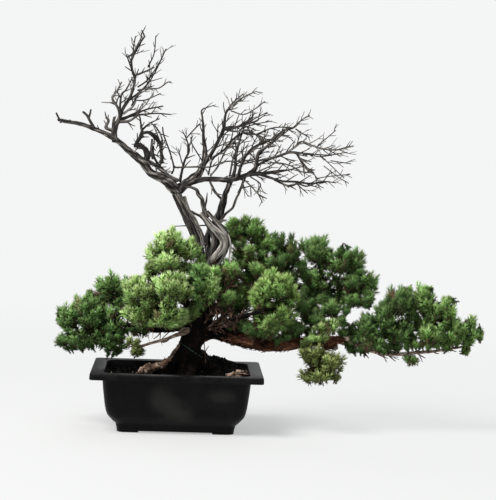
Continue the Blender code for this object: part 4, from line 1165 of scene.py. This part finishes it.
# Twigs that can be told apart: thickness at the start and end, depth at the start and end, and
# the way each one runs, as (x, z)
FINE_BARE = [
    (1.5, 1.0, -43, -45, [(-190, 474), (-193, 479), (-196, 485)]),
    (2.0, 1.5, -33, -35, [(-139, 465), (-144, 473), (-150, 483), (-156, 488)]),
    (1.5, 1.1, -34, -37, [(-147, 480), (-145, 486), (-144, 492)]),
]
FINE_LEFT = [
    (2.4, 2.0, -6, -8, [(-60, 414), (-56, 427), (-60, 436), (-73, 439), (-72, 448), (-64, 454)]),
    (2.0, 2.2, -8, -2, [(-65, 459), (-54, 460), (-43, 453), (-37, 440), (-33, 414)]),
    (1.6, 1.3, -2, -4, [(-48, 419), (-51, 435), (-49, 447)]),
    (2.0, 0.8, -22, -48, [(-102, 476), (-101, 488), (-104, 498), (-112, 511), (-106, 519),
     (-98, 535)]),
    (1.5, 0.7, -22, -4, [(-101, 485), (-99, 515), (-92, 525), (-83, 544)]),
    (1.4, 0.7, -27, -42, [(-86, 566), (-80, 580), (-70, 599), (-66, 606), (-70, 615)]),
    (1.1, 0.5, -28, -12, [(-90, 574), (-83, 581), (-82, 593), (-80, 607)]),
    (1.4, 0.7, -26, -52, [(-77, 547), (-62, 553), (-49, 559)]),
    (0.9, 0.4, -40, -60, [(-59, 559), (-50, 580), (-48, 606)]),
    (1.1, 0.4, -24, 4, [(-74, 529), (-62, 538), (-53, 550), (-43, 567), (-33, 590)]),
    (0.9, 0.4, -22, -34, [(-78, 512), (-68, 524), (-57, 539), (-56, 557), (-58, 570)]),
    (1.2, 0.5, -20, -54, [(-74, 524), (-60, 527), (-42, 528), (-29, 537), (-23, 538)]),
    (1.1, 0.5, -16, 6, [(-83, 500), (-72, 518), (-59, 527), (-54, 535)]),
    (0.9, 0.5, -14, -2, [(-77, 509), (-62, 510), (-39, 521)]),
    (0.9, 0.5, -20, -36, [(-74, 491), (-64, 499), (-50, 519)]),
    (1.4, 0.7, -20, -40, [(-89, 483), (-76, 489), (-56, 496), (-34, 501)]),
    (1.6, 0.6, -20, 8, [(-97, 478), (-81, 485), (-61, 488), (-45, 490), (-22, 489)]),
    (2.1, 1.2, -22, -30, [(-100, 475), (-85, 477), (-71, 487)]),
    (1.6, 0.9, -24, -20, [(-95, 487), (-81, 499), (-76, 509)]),
    (2.6, 1.5, -24, -30, [(-107, 460), (-116, 463), (-121, 466), (-117, 476), (-121, 481)]),
    (2.0, 1.3, -22, -18, [(-110, 466), (-110, 474), (-109, 482)]),
    (2.6, 2.0, -8, -8, [(-57, 418), (-61, 433), (-68, 441), (-76, 438), (-72, 446), (-67, 453),
     (-65, 461)]),
    (1.3, 1.0, -8, 0, [(-65, 461), (-68, 473), (-70, 484)]),
    (2.0, 1.5, -8, 2, [(-65, 458), (-57, 460), (-47, 453), (-40, 445)]),
    (1.0, 0.5, -6, -20, [(-64, 466), (-56, 473), (-39, 482)]),
    (1.0, 1.2, 14, 4, [(-48, 473), (-37, 457), (-34, 442), (-36, 413)]),
    (1.4, 1.4, 2, -4, [(-50, 450), (-51, 433), (-54, 418)]),
    (1.4, 1.7, 0, 4, [(-48, 440), (-47, 425), (-39, 411), (-28, 400)]),
    (0.9, 1.1, -16, 6, [(-34, 469), (-32, 457), (-21, 429), (-15, 407), (-18, 397)]),
    (2.2, 2.8, -2, 6, [(-57, 416), (-49, 413), (-35, 403), (-21, 393), (-8, 387)]),
    (0.9, 0.7, 26, 34, [(3, 453), (13, 465), (23, 476)]),
    (0.9, 0.7, 10, 22, [(10, 455), (13, 443), (30, 417)]),
]
FINE_CROWN = [
    (1.4, 0.6, 9, -20, [(64, 497), (75, 508), (87, 518), (108, 529)]),
    (1.0, 0.5, 9, 26, [(64, 498), (74, 511), (89, 525)]),
    (0.9, 0.5, 8, -26, [(71, 498), (91, 493), (109, 503), (122, 514)]),
    (1.5, 0.5, 10, 34, [(61, 470), (70, 473), (83, 474), (96, 480), (112, 489), (129, 498)]),
    (0.9, 0.5, 16, 40, [(84, 475), (102, 487), (109, 496)]),
    (0.9, 0.5, 14, -12, [(88, 471), (111, 479), (134, 484)]),
    (1.1, 0.8, 12, -22, [(62, 468), (83, 466), (95, 469), (111, 462), (135, 445)]),
    (1.1, 0.6, 16, -40, [(96, 464), (111, 463), (131, 472), (146, 475), (166, 475)]),
    (0.9, 0.5, -40, -62, [(166, 475), (178, 487), (189, 494)]),
    (0.9, 0.5, -40, -58, [(170, 473), (179, 467), (190, 461)]),
    (2.2, 0.8, -6, -36, [(111, 405), (112, 419), (115, 435), (127, 445), (149, 465), (158, 474)]),
    (1.3, 0.6, -8, -40, [(116, 422), (128, 426), (142, 430), (164, 440), (187, 459)]),
    (1.1, 0.8, -40, -56, [(183, 454), (204, 446), (231, 443), (258, 450)]),
    (1.1, 0.4, -26, -12, [(158, 436), (174, 436), (190, 435), (213, 432), (253, 440)]),
    (0.7, 0.4, -16, -30, [(213, 432), (226, 420), (248, 400)]),
    (0.7, 0.4, -20, -6, [(227, 426), (244, 424), (260, 422)]),
    (1.5, 1.0, -20, -44, [(175, 434), (182, 422), (192, 410), (200, 405)]),
    (1.0, 0.8, -14, -42, [(134, 420), (154, 419), (168, 415), (181, 408), (195, 407)]),
    (0.9, 0.6, -14, 6, [(129, 402), (151, 406), (170, 411), (185, 415)]),
    (1.5, 0.5, -20, -46, [(141, 394), (163, 385), (177, 389), (191, 386), (212, 394), (233, 393)]),
    (0.7, 0.4, -44, -30, [(203, 398), (218, 401), (238, 404), (257, 406)]),
    (0.7, 0.4, -40, -56, [(215, 418), (237, 402), (253, 393)]),
    (0.7, 0.4, -48, -70, [(204, 449), (217, 461), (229, 473)]),
    (1.3, 0.8, -2, 14, [(42, 396), (54, 412), (65, 436), (80, 453), (88, 463)]),
    (1.1, 0.6, 0, -14, [(39, 398), (43, 417), (47, 427), (61, 432)]),
    (1.3, 0.8, -6, 20, [(72, 396), (76, 421), (81, 437), (79, 453)]),
    (1.0, 0.6, 2, -18, [(84, 413), (103, 419), (137, 427)]),
    (1.0, 0.6, 4, -12, [(84, 420), (96, 431), (112, 444), (124, 461)]),
    (1.1, 0.8, 10, -4, [(-14, 407), (18, 409), (42, 410), (65, 419), (84, 420), (112, 424)]),
    (0.9, 0.5, -12, -30, [(94, 396), (93, 381), (101, 367)]),
    (1.1, 0.5, -12, -40, [(97, 390), (107, 381), (115, 372), (129, 365)]),
    (0.9, 0.5, -12, 4, [(104, 397), (120, 386), (117, 373), (125, 357)]),
    (1.5, 1.0, -2, 4, [(42, 387), (49, 372), (58, 363)]),
    (1.5, 1.1, -12, -10, [(86, 371), (93, 387), (97, 397)]),
    (1.0, 0.6, -10, -30, [(107, 400), (119, 407), (134, 415), (148, 425)]),
]


def fine_route(first, last, near, far, way):
    """A twig's way through (x, z), with its depth and thickness changing evenly."""
    steps = len(way) - 1
    first, last = 1.25 * first, last + 0.35
    return [(x, near + (far - near) * index / steps, z, first + (last - first) * index / steps)
            for index, (x, z) in enumerate(way)]


twigs = Skin()
rng = random.Random(7)
UP_RIGHT = (0.35, 0.0, 0.85)
OUT_RIGHT = (0.85, 0.0, 0.30)
for rows, sweep_to, length in ((FINE_BARE, UP_RIGHT, 0), (FINE_LEFT, UP_RIGHT, 17),
                               (FINE_CROWN, OUT_RIGHT, 22)):
    for row in rows:
        route = fine_route(*row)
        twigs.sweep(smooth_line(route, 2.5), 7, grooves(0.12, rng.random(), (3,)), 0.03,
                    rng.uniform(0.15, 0.7), rng.random())
        if length:
            twigs_along(twigs, rng, route, 0.25, 13, length, sweep_to, 1)
# Each set of routes: share with no twigs, spacing and length of twigs, way they bend, forkings
for routes, *twig in ((LEFT_SPRAYS[:5], 0.30, 9, 24, UP_RIGHT, 2),
                      (LEFT_SPRAYS[5:], 0.35, 14, 16, (0.4, 0.0, 0.6), 1),
                      ([LEADER[8:]], 0.1, 22, 12, (-0.2, 0.0, 0.7), 1),
                      ([UPRIGHT_LIMB], 0.45, 11, 22, (0.5, 0.0, 0.6), 2),
                      ([LEVEL_LIMB], 0.35, 11, 28, (0.8, 0.0, 0.2), 2),
                      (CROWN, 0.20, 10, 30, OUT_RIGHT, 2)):
    for route in routes:
        twigs_along(twigs, rng, route, *twig)
add_piece("dead_twigs", twigs.mesh("dead_twigs"), bare_wood)

# ---------------------------------------------------------------------------------------------
# Branchlets: the thin brown wood between the limbs and the foliage. It shows in the gaps of the
# pads, above all round the trunk.

branchlets = Skin()
rng = random.Random(19)
for name, first, length, sweep_to in (
        ("left", 0.2, 26, (-0.3, 0.0, 0.5)), ("back", 0.1, 34, (0.2, 0.0, 0.7)),
        ("front", 0.1, 30, (0.3, -0.2, 0.6)), ("left_up", 0.1, 34, (-0.3, 0.0, 0.6)),
        ("back_leader", 0.1, 34, (0.1, 0.0, 0.7)), ("right_tip", 0.2, 26, (0.3, 0.0, 0.7)),
        ("drop", 0.0, 26, (0.0, 0.0, -0.6))):
    twigs_along(branchlets, rng, LIMBS[name], first, 11, length, sweep_to, 2)
LONG_SHOOTS = [
    [(40, -10, 172, 3.4), (58, -22, 196, 2.6), (72, -26, 222, 2), (92, -24, 246, 1.2)],
    [(42, -8, 190, 3), (38, -20, 214, 2.4), (50, -28, 240, 1.8), (48, -26, 262, 1)],
    [(60, 10, 182, 3.4), (96, 4, 196, 2.6), (132, 2, 224, 2), (150, 2, 250, 1.2)],
    [(110, -12, 146, 3), (134, -24, 164, 2.4), (158, -26, 184, 1.6)],
]
FRONT_SHOOTS = [
    [(44, -22, 160, 2.4), (58, -30, 172, 1.8), (74, -34, 188, 1.3), (84, -36, 204, 0.8)],
    [(46, -24, 158, 2.2), (66, -32, 164, 1.8), (88, -36, 172, 1.2), (104, -38, 184, 0.8)],
    [(40, -24, 168, 2), (48, -32, 184, 1.5), (56, -36, 202, 0.9)],
    [(90, -20, 152, 2), (84, -30, 166, 1.5), (80, -34, 184, 1)],
    [(60, -24, 160, 1.6), (68, -30, 178, 1.2), (66, -36, 198, 0.8)],
]
TRUNK_SPROUTS = [
    [(44, -26, 106, 1.0), (42, -23, 124, 0.9), (40, -18, 141, 0.6)],
    [(42, -23, 120, 0.8), (44, -21, 126, 0.7), (48, -19, 132, 0.5)],
]
for route in LONG_SHOOTS:
    branchlets.sweep(smooth_line(route, 4), 8)
    twigs_along(branchlets, rng, route, 0.15, 8, 30, (0.1, 0.0, 0.5), 2)
for route in FRONT_SHOOTS:
    branchlets.sweep(smooth_line(route, 3), 7)
    twigs_along(branchlets, rng, route, 0.1, 5, 24, (0.2, -0.1, 0.4), 2)
for route in TRUNK_SPROUTS:
    branchlets.sweep(smooth_line(route, 3), 6)
add_piece("branchlets", branchlets.mesh("branchlets"), twig_bark)

# ---------------------------------------------------------------------------------------------
# Foliage: sprays of short juniper shoots, each a thin green stem set with pointed needles. The
# pads' colours are partly their own and partly painted light: those in the light are a paler
# yellow-green at their tips, and those behind and below a darker deep green.

# Sizes of needles, shoots and sprays, and the distances between and round sprays (mm)
NEEDLE_LENGTH = 10.2
NEEDLE_WIDTH = 1.2
SHOOT_LENGTH = 21.0
SIDE_SHOOT = 17.0
SPRAY_LENGTH = 31.5
SPRAY_SPACING = 12.2
INNER_SPACING = 14.5
INNER_DEPTH = 9.0
LEAST_ROOM = 9.0
FRONT_GAP = 3.0
# Turns that set one after another all round: shoots on a spray, and points on a lobe (radians)
SHOOT_TURN = 2.4
LOBE_TURN = 2.39996

pick()
bpy.ops.mesh.primitive_cone_add(vertices=3, radius1=NEEDLE_WIDTH * MM, radius2=0.0,
                                depth=NEEDLE_LENGTH * MM, end_fill_type="NOTHING",
                                location=(0.0, 0.0, NEEDLE_LENGTH / 2 * MM))
needle_object = bpy.context.object
settle_place(needle_object)
needle = needle_object.data
bpy.data.objects.remove(needle_object)


def shoot_mesh(name, whorls, seed):
    """One shoot along +Z: whorls of three needles that point forwards, closing at the tip.

    "tip" is 0 on its woody stem, and rises from a needle's base to its point.
    """
    rng = random.Random(seed)
    places, spans = [], []
    for whorl in range(whorls):
        share = whorl / (whorls - 1)
        lean = math.radians(56 - 34 * share)
        size = 0.84 + 0.26 * math.sin(math.pi * share)
        for third in range(3):
            angle = math.tau * (third / 3 + whorl * 0.19) + rng.uniform(-0.3, 0.3)
            turn = (Matrix.Rotation(angle, 3, "Z") @ Matrix.Rotation(lean, 3, "Y")
                    @ Matrix.Rotation(rng.uniform(0, 2), 3, "Z"))
            place = np.zeros((3, 4), np.float32)
            place[:, :3] = np.array(turn) * size * rng.uniform(0.88, 1.12)
            place[:, 3] = (0, 0, (0.4 + share * (SHOOT_LENGTH - NEEDLE_LENGTH - 0.6)) * MM)
            places.append(place)
            # Tip values of each whorl's needles, from base to point: they set the painted shade
            # and painted highlight, paler on higher whorls
            spans.append((0.08 + 0.22 * share, 0.35 + 0.30 * share + 0.35 * rng.random()))
    tip = np.zeros((3, 4), np.float32)
    tip[:, :3] = np.eye(3) * 0.95
    tip[:, 3] = (0, 0, (SHOOT_LENGTH - NEEDLE_LENGTH) * MM)
    stem = np.zeros((3, 4), np.float32)
    stem[:, :3] = np.diag((0.75, 0.75, 2.6))
    stem[:, 3] = (0, 0, -7.0 * MM)
    places += [tip, stem]
    spans += [(0.30, 1.0), (0.0, 0.0)]
    mesh = join_copies(name, needle, np.array(places))
    out = np.array([vert.co.z for vert in needle.vertices]) / (NEEDLE_LENGTH * MM)
    values = np.array([base + (point - base) * out for base, point in spans], np.float32)
    mesh.attributes.new("tip", "FLOAT", "POINT").data.foreach_set("value", values.ravel())
    return mesh


shoots = [shoot_mesh("shoot_short", 3, 3), shoot_mesh("shoot_full", 4, 4)]


def needle_finish(name, deep, middle, tip):
    """Juniper needles: partly their own tone, partly painted shade dark at the base and a painted
    highlight pale at the point, each shoot a little different.
    """
    material, tree, shader, _ = new_finish(name)
    kept = put(tree, "Attribute", attribute_name="shade").outputs
    tones = put(tree, "SeparateColor", {0: kept["Color"]}).outputs
    along, tint, light = tones["Red"], tones["Green"], tones["Blue"]
    # Painted highlight: the pale point, scaled by the painted light in the blue channel
    pale = maths(tree, "MULTIPLY", ranged(tree, along, 0.40, 0.86), light)
    colour = mixed(tree, ranged(tree, along, 0.08, 0.42), deep, middle)
    colour = mixed(tree, pale, colour, tip)
    colour = mixed(tree, ranged(tree, along, 0.0, 0.05, 1.0, 0.0), colour, STEM_BROWN)
    colour = mixed(tree, ranged(tree, kept["Alpha"], 0.0, 1.0, 1.0, 0.0), colour, WITHERED)
    # Painted light and shade: the blue channel makes the whole colour brighter or darker
    strength = maths(tree, "MULTIPLY", ranged(tree, tint, 0.0, 1.0, 0.66, 1.34),
                     ranged(tree, light, 0.0, 1.0, 0.22, 1.15))
    final = put(tree, "HueSaturation", {"Hue": ranged(tree, tint, 0.0, 1.0, 0.485, 0.507),
                                        "Value": strength, "Color": colour})
    feed(tree, shader, {"Base Color": final.outputs["Color"], "Roughness": 0.5,
                        "Specular IOR Level": 0.22})
    return material


STEM_BROWN = (0.115, 0.060, 0.035)
WITHERED = (0.190, 0.125, 0.058)
# Each kind of needle: its base, middle and point. Bright, fresh and mid are paler copies for pads
# in the light, and deep a darker copy for pads in shade: partly painted light
needles_bright = needle_finish("needles_bright", (0.036, 0.075, 0.012), (0.245, 0.430, 0.090),
                               (0.80, 0.97, 0.50))
needles_fresh = needle_finish("needles_fresh", (0.028, 0.068, 0.012), (0.175, 0.350, 0.064),
                              (0.62, 0.81, 0.31))
needles_mid = needle_finish("needles_mid", (0.026, 0.066, 0.012), (0.165, 0.340, 0.062),
                            (0.58, 0.80, 0.34))
needles_deep = needle_finish("needles_deep", (0.016, 0.046, 0.010), (0.095, 0.215, 0.042),
                             (0.37, 0.56, 0.21))
needles_olive = needle_finish("needles_olive", (0.040, 0.055, 0.012), (0.200, 0.262, 0.062),
                              (0.68, 0.79, 0.32))


def spread_points(obj, spacing, rng):
    """Points over a pad's surface with their outward directions, no two closer than spacing."""
    mesh = obj.data
    mesh.calc_loop_triangles()
    corners = [[mesh.vertices[i].co for i in tri.vertices] for tri in mesh.loop_triangles]
    normals = [tri.normal.copy() for tri in mesh.loop_triangles]
    areas = [tri.area for tri in mesh.loop_triangles]
    tries = int(sum(areas) / spacing ** 2 * 9)
    kept, facing = np.empty((0, 3)), []
    for face in rng.choices(range(len(areas)), areas, k=tries):
        a, b = rng.random(), rng.random()
        if a + b > 1:
            a, b = 1 - a, 1 - b
        first, second, third = corners[face]
        point = np.array(first + (second - first) * a + (third - first) * b)
        if len(kept) and np.min(np.sum((kept - point) ** 2, axis=1)) < spacing ** 2:
            continue
        kept = np.vstack([kept, point])
        facing.append(normals[face])
    return kept, facing


def inside_points(obj, spacing, margin, rng):
    """Points all through a pad, under its surface, with the way out from each and its depth."""
    mesh = obj.data
    surface = surface_of(mesh)
    places = np.array([vert.co for vert in mesh.vertices])
    found = []
    spans = [np.arange(low + spacing / 2, high, spacing)
             for low, high in zip(places.min(axis=0), places.max(axis=0))]
    for x in spans[0]:
        for y in spans[1]:
            for z in spans[2]:
                point = Vector([value + rng.uniform(-0.4, 0.4) * spacing for value in (x, y, z)])
                near, normal, _, depth = surface.find_nearest(point)
                if depth > margin and (point - near).dot(normal) < 0:
                    found.append((point, (near - point).normalized(), depth))
    return found


def shoot_place(base, ahead, spin, size):
    """The matrix that sets a shoot at a base point, along a direction."""
    turn = ahead.to_track_quat("Z", "Y").to_matrix() @ Matrix.Rotation(spin, 3, "Z")
    place = np.zeros((3, 4), np.float32)
    place[:, :3] = np.array(turn) * size
    place[:, 3] = base
    return place


def spray(places, shades, rng, tip, ahead, length, light, shares, age):
    """A spray: one shoot that leads, and others that leave its stem on all sides."""
    length *= MM
    base = tip - ahead * length
    tone = rng.random()
    spin = rng.uniform(0, math.tau)
    lead = min(1.0, length / (SHOOT_LENGTH * MM))
    steps = [(length - SHOOT_LENGTH * MM * lead, 0.0, lead, 1.0)]
    # Painted shade: shoots lower on the spray get a smaller share of its painted light
    steps += [(share * (length - SIDE_SHOOT * MM * lead), math.radians(rng.uniform(17, 38)),
               lead * rng.uniform(0.74, 0.98), 0.40 + 0.60 * share) for share in shares]
    for step, lean, size, glow in steps:
        side = ahead.orthogonal().normalized()
        side.rotate(Matrix.Rotation(spin, 3, ahead))
        way = (ahead * math.cos(lean) + side * math.sin(lean)).normalized()
        way = (way + Vector((0, 0, 0.16))).normalized()
        places.append(shoot_place(base + ahead * step, way, rng.uniform(0, math.tau), size))
        shades.append((min(1, max(0, tone + rng.uniform(-0.22, 0.22))), light * glow, age))
        spin += SHOOT_TURN


def lobe_points(lobe, spacing, rng):
    """Points all round a small extra lobe, given as its middle and half sizes in mm."""
    middle, half = Vector(lobe[:3]), Vector(lobe[3:6])
    area = 4 * math.pi * (half.x * half.y + half.y * half.z + half.x * half.z) / 3
    count = max(8, int(area / spacing ** 2 * 1.1))
    points, facing = [], []
    for index in range(count):
        height = 1 - 2 * (index + 0.5) / count
        angle = index * LOBE_TURN + rng.uniform(-0.3, 0.3)
        ring = math.sqrt(1 - height * height)
        way = Vector((ring * math.cos(angle), ring * math.sin(angle), height))
        points.append(np.array((middle + way * half) * MM + pot_middle))
        facing.append(Vector((way.x / half.x, way.y / half.y, way.z / half.z)).normalized())
    return points, facing


def foliage_pad(node_name, finish, lobes=(), glow=1.0, withered=0.02,
                spacing=SPRAY_SPACING, shift=(0, 0, 0), reach=SPRAY_LENGTH):
    """Fills a pad with sprays: a coat that ends at its surface, and sprays all inside it that
    painted shade makes dark.
    """
    rng = random.Random(node_name)
    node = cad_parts[node_name]
    low, high = (Vector(corner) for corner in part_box(node_name))
    root = Vector(((low.x + high.x) / 2, (low.y + high.y) / 2, low.z + (high.z - low.z) * 0.2))
    places, shades = [], []
    points, facing = spread_points(node, spacing * MM, rng)
    points, shares, rooms = list(points), [1.0] * len(points), [0.0] * len(points)
    for lobe in lobes:
        more_points, more_facing = lobe_points(lobe, spacing, rng)
        points += more_points
        facing += more_facing
        shares += [lobe[6]] * len(more_points)
        rooms += [1.8 * min(lobe[3:6])] * len(more_points)
    skin = surface_of(node.data)
    # The coat: its sprays lean out and up, carry painted light that is lightest on top, and stay
    # within the pad's depth
    for point, normal, share, room in zip(points, facing, shares, rooms):
        away = (Vector(point) - root).normalized()
        jitter = Vector([rng.gauss(0, 0.20) for _ in range(3)])
        rise = 0.30 * min(1.0, 1.0 + normal.z) + 0.40 * max(0.0, normal.z)
        ahead = (normal * 0.70 + away * 0.35 + jitter + Vector((0, 0, rise))).normalized()
        past = rng.uniform(-3.0, 6.5) if normal.z > -0.25 else rng.uniform(-7.0, 2.5)
        tip = Vector(point) + ahead * past * MM + Vector(shift) * MM
        tip.y = min(max(tip.y, cad_low[1] + FRONT_GAP * MM), cad_high[1] - FRONT_GAP * MM)
        # Painted light: sprays that face up are lighter, those that face down darker
        sun = 0.48 + 0.52 * max(0.0, min(1.0, 0.5 + 0.7 * normal.z))
        age = rng.uniform(0.0, 0.5) if rng.random() < withered else 1.0
        if not room:
            room = (skin.ray_cast(Vector(point) - ahead * 2 * MM, -ahead)[3] or 0.0) / MM
            if room < LEAST_ROOM:
                continue
        length = min(reach * rng.uniform(0.86, 1.14), max(14.0, 0.9 * room + past))
        # Painted light: the pad's and the lobe's shares of light scale each spray's too
        spray(places, shades, rng, tip, ahead, length,
              glow * share * sun * rng.uniform(0.67, 0.97), (0.0, 0.25, 0.5, 0.75, 1.0), age)
    # The inside: shorter sprays with painted shade, darker the deeper they are
    inner = inside_points(node, INNER_SPACING * MM, INNER_DEPTH * MM, rng)
    for point, outward, depth in inner:
        jitter = Vector([rng.gauss(0, 0.45) for _ in range(3)])
        ahead = (outward + jitter + Vector((0, 0, 0.2))).normalized()
        light = glow * max(0.05, 0.30 - depth / MM * 0.011)
        age = rng.uniform(0.1, 0.7) if rng.random() < 0.03 + withered else 1.0
        spray(places, shades, rng, point + ahead * 9 * MM + Vector(shift) * MM, ahead,
              rng.uniform(20, 26), light, (0.3, 0.75), age)
    # The two kinds of shoot take half of the places each
    places, shades = np.array(places), np.array(shades, np.float32)
    half = len(places) // 2
    pair = []
    for name, source, part in (("_a", shoots[0], slice(0, half)),
                               ("_b", shoots[1], slice(half, None))):
        mesh = join_copies(node_name + name, source, places[part], shades[part])
        pair.append(link_object(mesh.name, mesh))
    pick(*pair)
    bpy.ops.object.join()
    mesh = pair[0].data
    bpy.data.objects.remove(pair[0])
    add_piece("needles_" + node_name[8:], mesh, finish, (node_name,))


# Lobes that close the gaps between the pads: middle and half sizes (mm), and share of painted
# light
LOBES = {
    "left_back": [(-86, 6, 224, 8, 10, 11, 0.75), (-82, 6, 195, 6, 10, 12, 0.5),
     (-89, 10, 178, 6, 10, 6, 0.7)],
    "crown_left": [(81, 6, 327, 8, 10, 8, 1.0)],
    "left_outer": [(-188, 0, 170, 6, 10, 14, 0.8), (-137, -6, 127, 6, 10, 6, 0.5),
     (-139, 0, 209, 5, 10, 8, 0.8), (-117, 0, 194, 5, 10, 5, 0.7), (-96, -6, 119, 16, 10, 6, 0.5),
     (-160, 0, 122, 19, 10, 6, 0.6), (-127, 0, 198, 6, 10, 8, 0.9), (-181, 0, 131, 8, 10, 12, 0.8),
     (-168, 0, 134, 12, 14, 8, 0.6), (-180, 0, 168, 7, 12, 12, 0.8),
     (-122, 4, 130, 14, 14, 5, 0.5)],
    "left_inner": [(-64, -6, 152, 20, 14, 7, 0.6), (-98, -20, 145, 17, 14, 7, 0.6)],
    "left_front": [(-45, -10, 241, 12, 11, 9, 0.9), (-19, -8, 245, 14, 10, 8, 0.9),
     (13, -6, 227, 8, 10, 11, 0.8), (13, -4, 205, 6, 10, 9, 0.7), (-71, -14, 231, 11, 10, 6, 0.9),
     (-1, -48, 178, 18, 15, 12, 0.9), (-44, -46, 170, 15, 14, 9, 0.9),
     (20, -34, 188, 14, 15, 15, 0.45), (-39, -40, 204, 12, 14, 14, 0.7)],
    "left_top": [(6, -20, 254, 12, 15, 12, 1.0), (-47, -14, 251, 12, 14, 11, 1.0)],
    "trunk_side": [(48, -34, 224, 15, 18, 25, 1.2), (52, -24, 250, 12, 15, 9, 1.2),
     (30, -8, 264, 10, 14, 12, 0.8), (24, -22, 240, 12, 14, 22, 0.9)],
    "crown_inner": [(92, 12, 292, 13, 10, 6, 0.5), (127, 14, 276, 11, 11, 9, 0.5),
     (98, 8, 263, 8, 10, 6, 0.5), (133, 10, 245, 9, 11, 9, 0.5), (109, 6, 219, 8, 10, 11, 0.5),
     (108, 0, 282, 11, 13, 11, 0.8), (122, -8, 254, 12, 13, 11, 0.8),
     (80, -18, 249, 15, 19, 19, 0.8), (75, -24, 208, 15, 19, 15, 0.7),
     (94, 0, 219, 14, 17, 14, 0.7), (66, -26, 200, 9, 10, 7, 0.8)],
    "centre_inner": [(97, -16, 166, 23, 15, 12, 0.55), (129, -44, 161, 28, 15, 12, 0.65),
     (126, -30, 178, 14, 14, 10, 0.6), (153, -32, 149, 14, 12, 7, 0.6),
     (170, -30, 151, 10, 12, 7, 0.6)],
    "centre_back": [(201, -4, 158, 9, 11, 9, 0.6), (194, 10, 215, 8, 10, 12, 0.5),
     (226, 8, 182, 8, 10, 8, 0.5), (176, -30, 165, 23, 18, 15, 0.7),
     (143, 10, 185, 22, 19, 16, 0.6), (191, -10, 198, 12, 15, 14, 0.8),
     (216, -20, 178, 12, 15, 12, 0.8)],
    "crown_middle": [(152, 6, 265, 14, 15, 12, 0.6), (140, 10, 264, 14, 15, 12, 0.8),
     (157, 6, 224, 19, 19, 16, 0.6), (190, 6, 262, 8, 14, 8, 0.8)],
    "crown_right": [(193, 14, 246, 9, 11, 13, 0.5), (224, 12, 205, 11, 13, 11, 0.5),
     (204, 10, 200, 8, 10, 9, 0.5), (298, 10, 207, 11, 13, 14, 0.6),
     (257, 10, 283, 17, 10, 6, 0.9), (238, 0, 194, 16, 17, 14, 0.9),
     (272, 14, 208, 19, 14, 9, 0.9), (298, 18, 221, 11, 14, 8, 0.9),
     (270, 14, 238, 12, 14, 12, 0.7)],
    "right_inner": [(326, 4, 163, 11, 13, 11, 0.6), (345, 4, 160, 8, 10, 8, 0.6),
     (252, -6, 179, 9, 10, 8, 1.05), (344, -10, 137, 9, 10, 5, 0.6), (261, -4, 195, 9, 10, 5, 0.5),
     (368, -6, 154, 6, 10, 5, 0.5), (376, -4, 186, 6, 10, 6, 0.6), (270, 0, 162, 6, 10, 6, 0.5),
     (263, -4, 141, 6, 10, 5, 0.5), (280, -10, 132, 19, 10, 8, 0.6), (255, -8, 176, 5, 10, 9, 0.8),
     (256, -8, 156, 8, 12, 9, 0.8), (322, -14, 136, 17, 14, 7, 0.8),
     (365, -8, 189, 9, 14, 14, 0.8), (276, -12, 148, 14, 12, 6, 0.7)],
    "right_outer": [(366, 0, 207, 9, 11, 9, 0.7), (374, 0, 174, 9, 11, 11, 0.6),
     (389, 0, 186, 9, 10, 8, 0.7), (456, 0, 134, 6, 10, 8, 0.8), (386, 0, 227, 12, 10, 8, 1.0),
     (359, 0, 226, 6, 10, 6, 1.0), (421, 0, 212, 8, 10, 6, 1.0), (475, 5, 159, 6, 10, 5, 0.9),
     (392, -8, 142, 40, 14, 8, 0.8), (429, -6, 154, 20, 15, 12, 0.9)],
    "tuft": [(214, -38, 152, 19, 13, 9, 1.0), (196, -36, 146, 10, 12, 8, 0.8)],
    "drop": [(247, -34, 92, 9, 12, 7, 0.9), (198, -38, 132, 12, 12, 9, 0.9)],
}
BRIGHT, DEEP = "foliage_bright", "foliage_deep"
# Each pad: name, finish, slot, share of painted light, share of withered sprays
for node_name, finish, slot, glow, withered in (
        ("left_outer", needles_deep, DEEP, 0.98, 0.02),
        ("left_back", needles_deep, DEEP, 1.0, 0.02),
        ("left_front", needles_bright, BRIGHT, 0.99, 0.02),
        ("left_inner", needles_deep, DEEP, 1.0, 0.04),
        ("left_top", needles_bright, BRIGHT, 0.98, 0.02),
        ("trunk_side", needles_mid, DEEP, 1.25, 0.03),
        ("crown_left", needles_mid, DEEP, 1.0, 0.02),
        ("crown_middle", needles_deep, DEEP, 0.74, 0.02),
        ("crown_inner", needles_mid, DEEP, 0.86, 0.16),
        ("crown_right", needles_deep, DEEP, 1.13, 0.02),
        ("centre_front", needles_fresh, BRIGHT, 0.95, 0.03),
        ("centre_back", needles_deep, DEEP, 1.0, 0.02),
        ("centre_inner", needles_deep, DEEP, 1.25, 0.12),
        ("tuft", needles_bright, BRIGHT, 1.0, 0.02),
        ("drop", needles_olive, DEEP, 0.90, 0.03),
        ("right_inner", needles_deep, DEEP, 0.81, 0.03),
        ("right_outer", needles_mid, DEEP, 0.96, 0.02)):
    foliage_pad("foliage_" + node_name, finish, LOBES.get(node_name, ()), glow, withered)
foliage_pad("foliage_sprig_right", needles_mid, glow=0.95, shift=(0, 0, 3), reach=21)
foliage_pad("foliage_sprig_left", needles_olive, glow=0.8, withered=0.25, spacing=14,
            shift=(5, 4, 0), reach=22)

# The size of the finished piece
low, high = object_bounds()
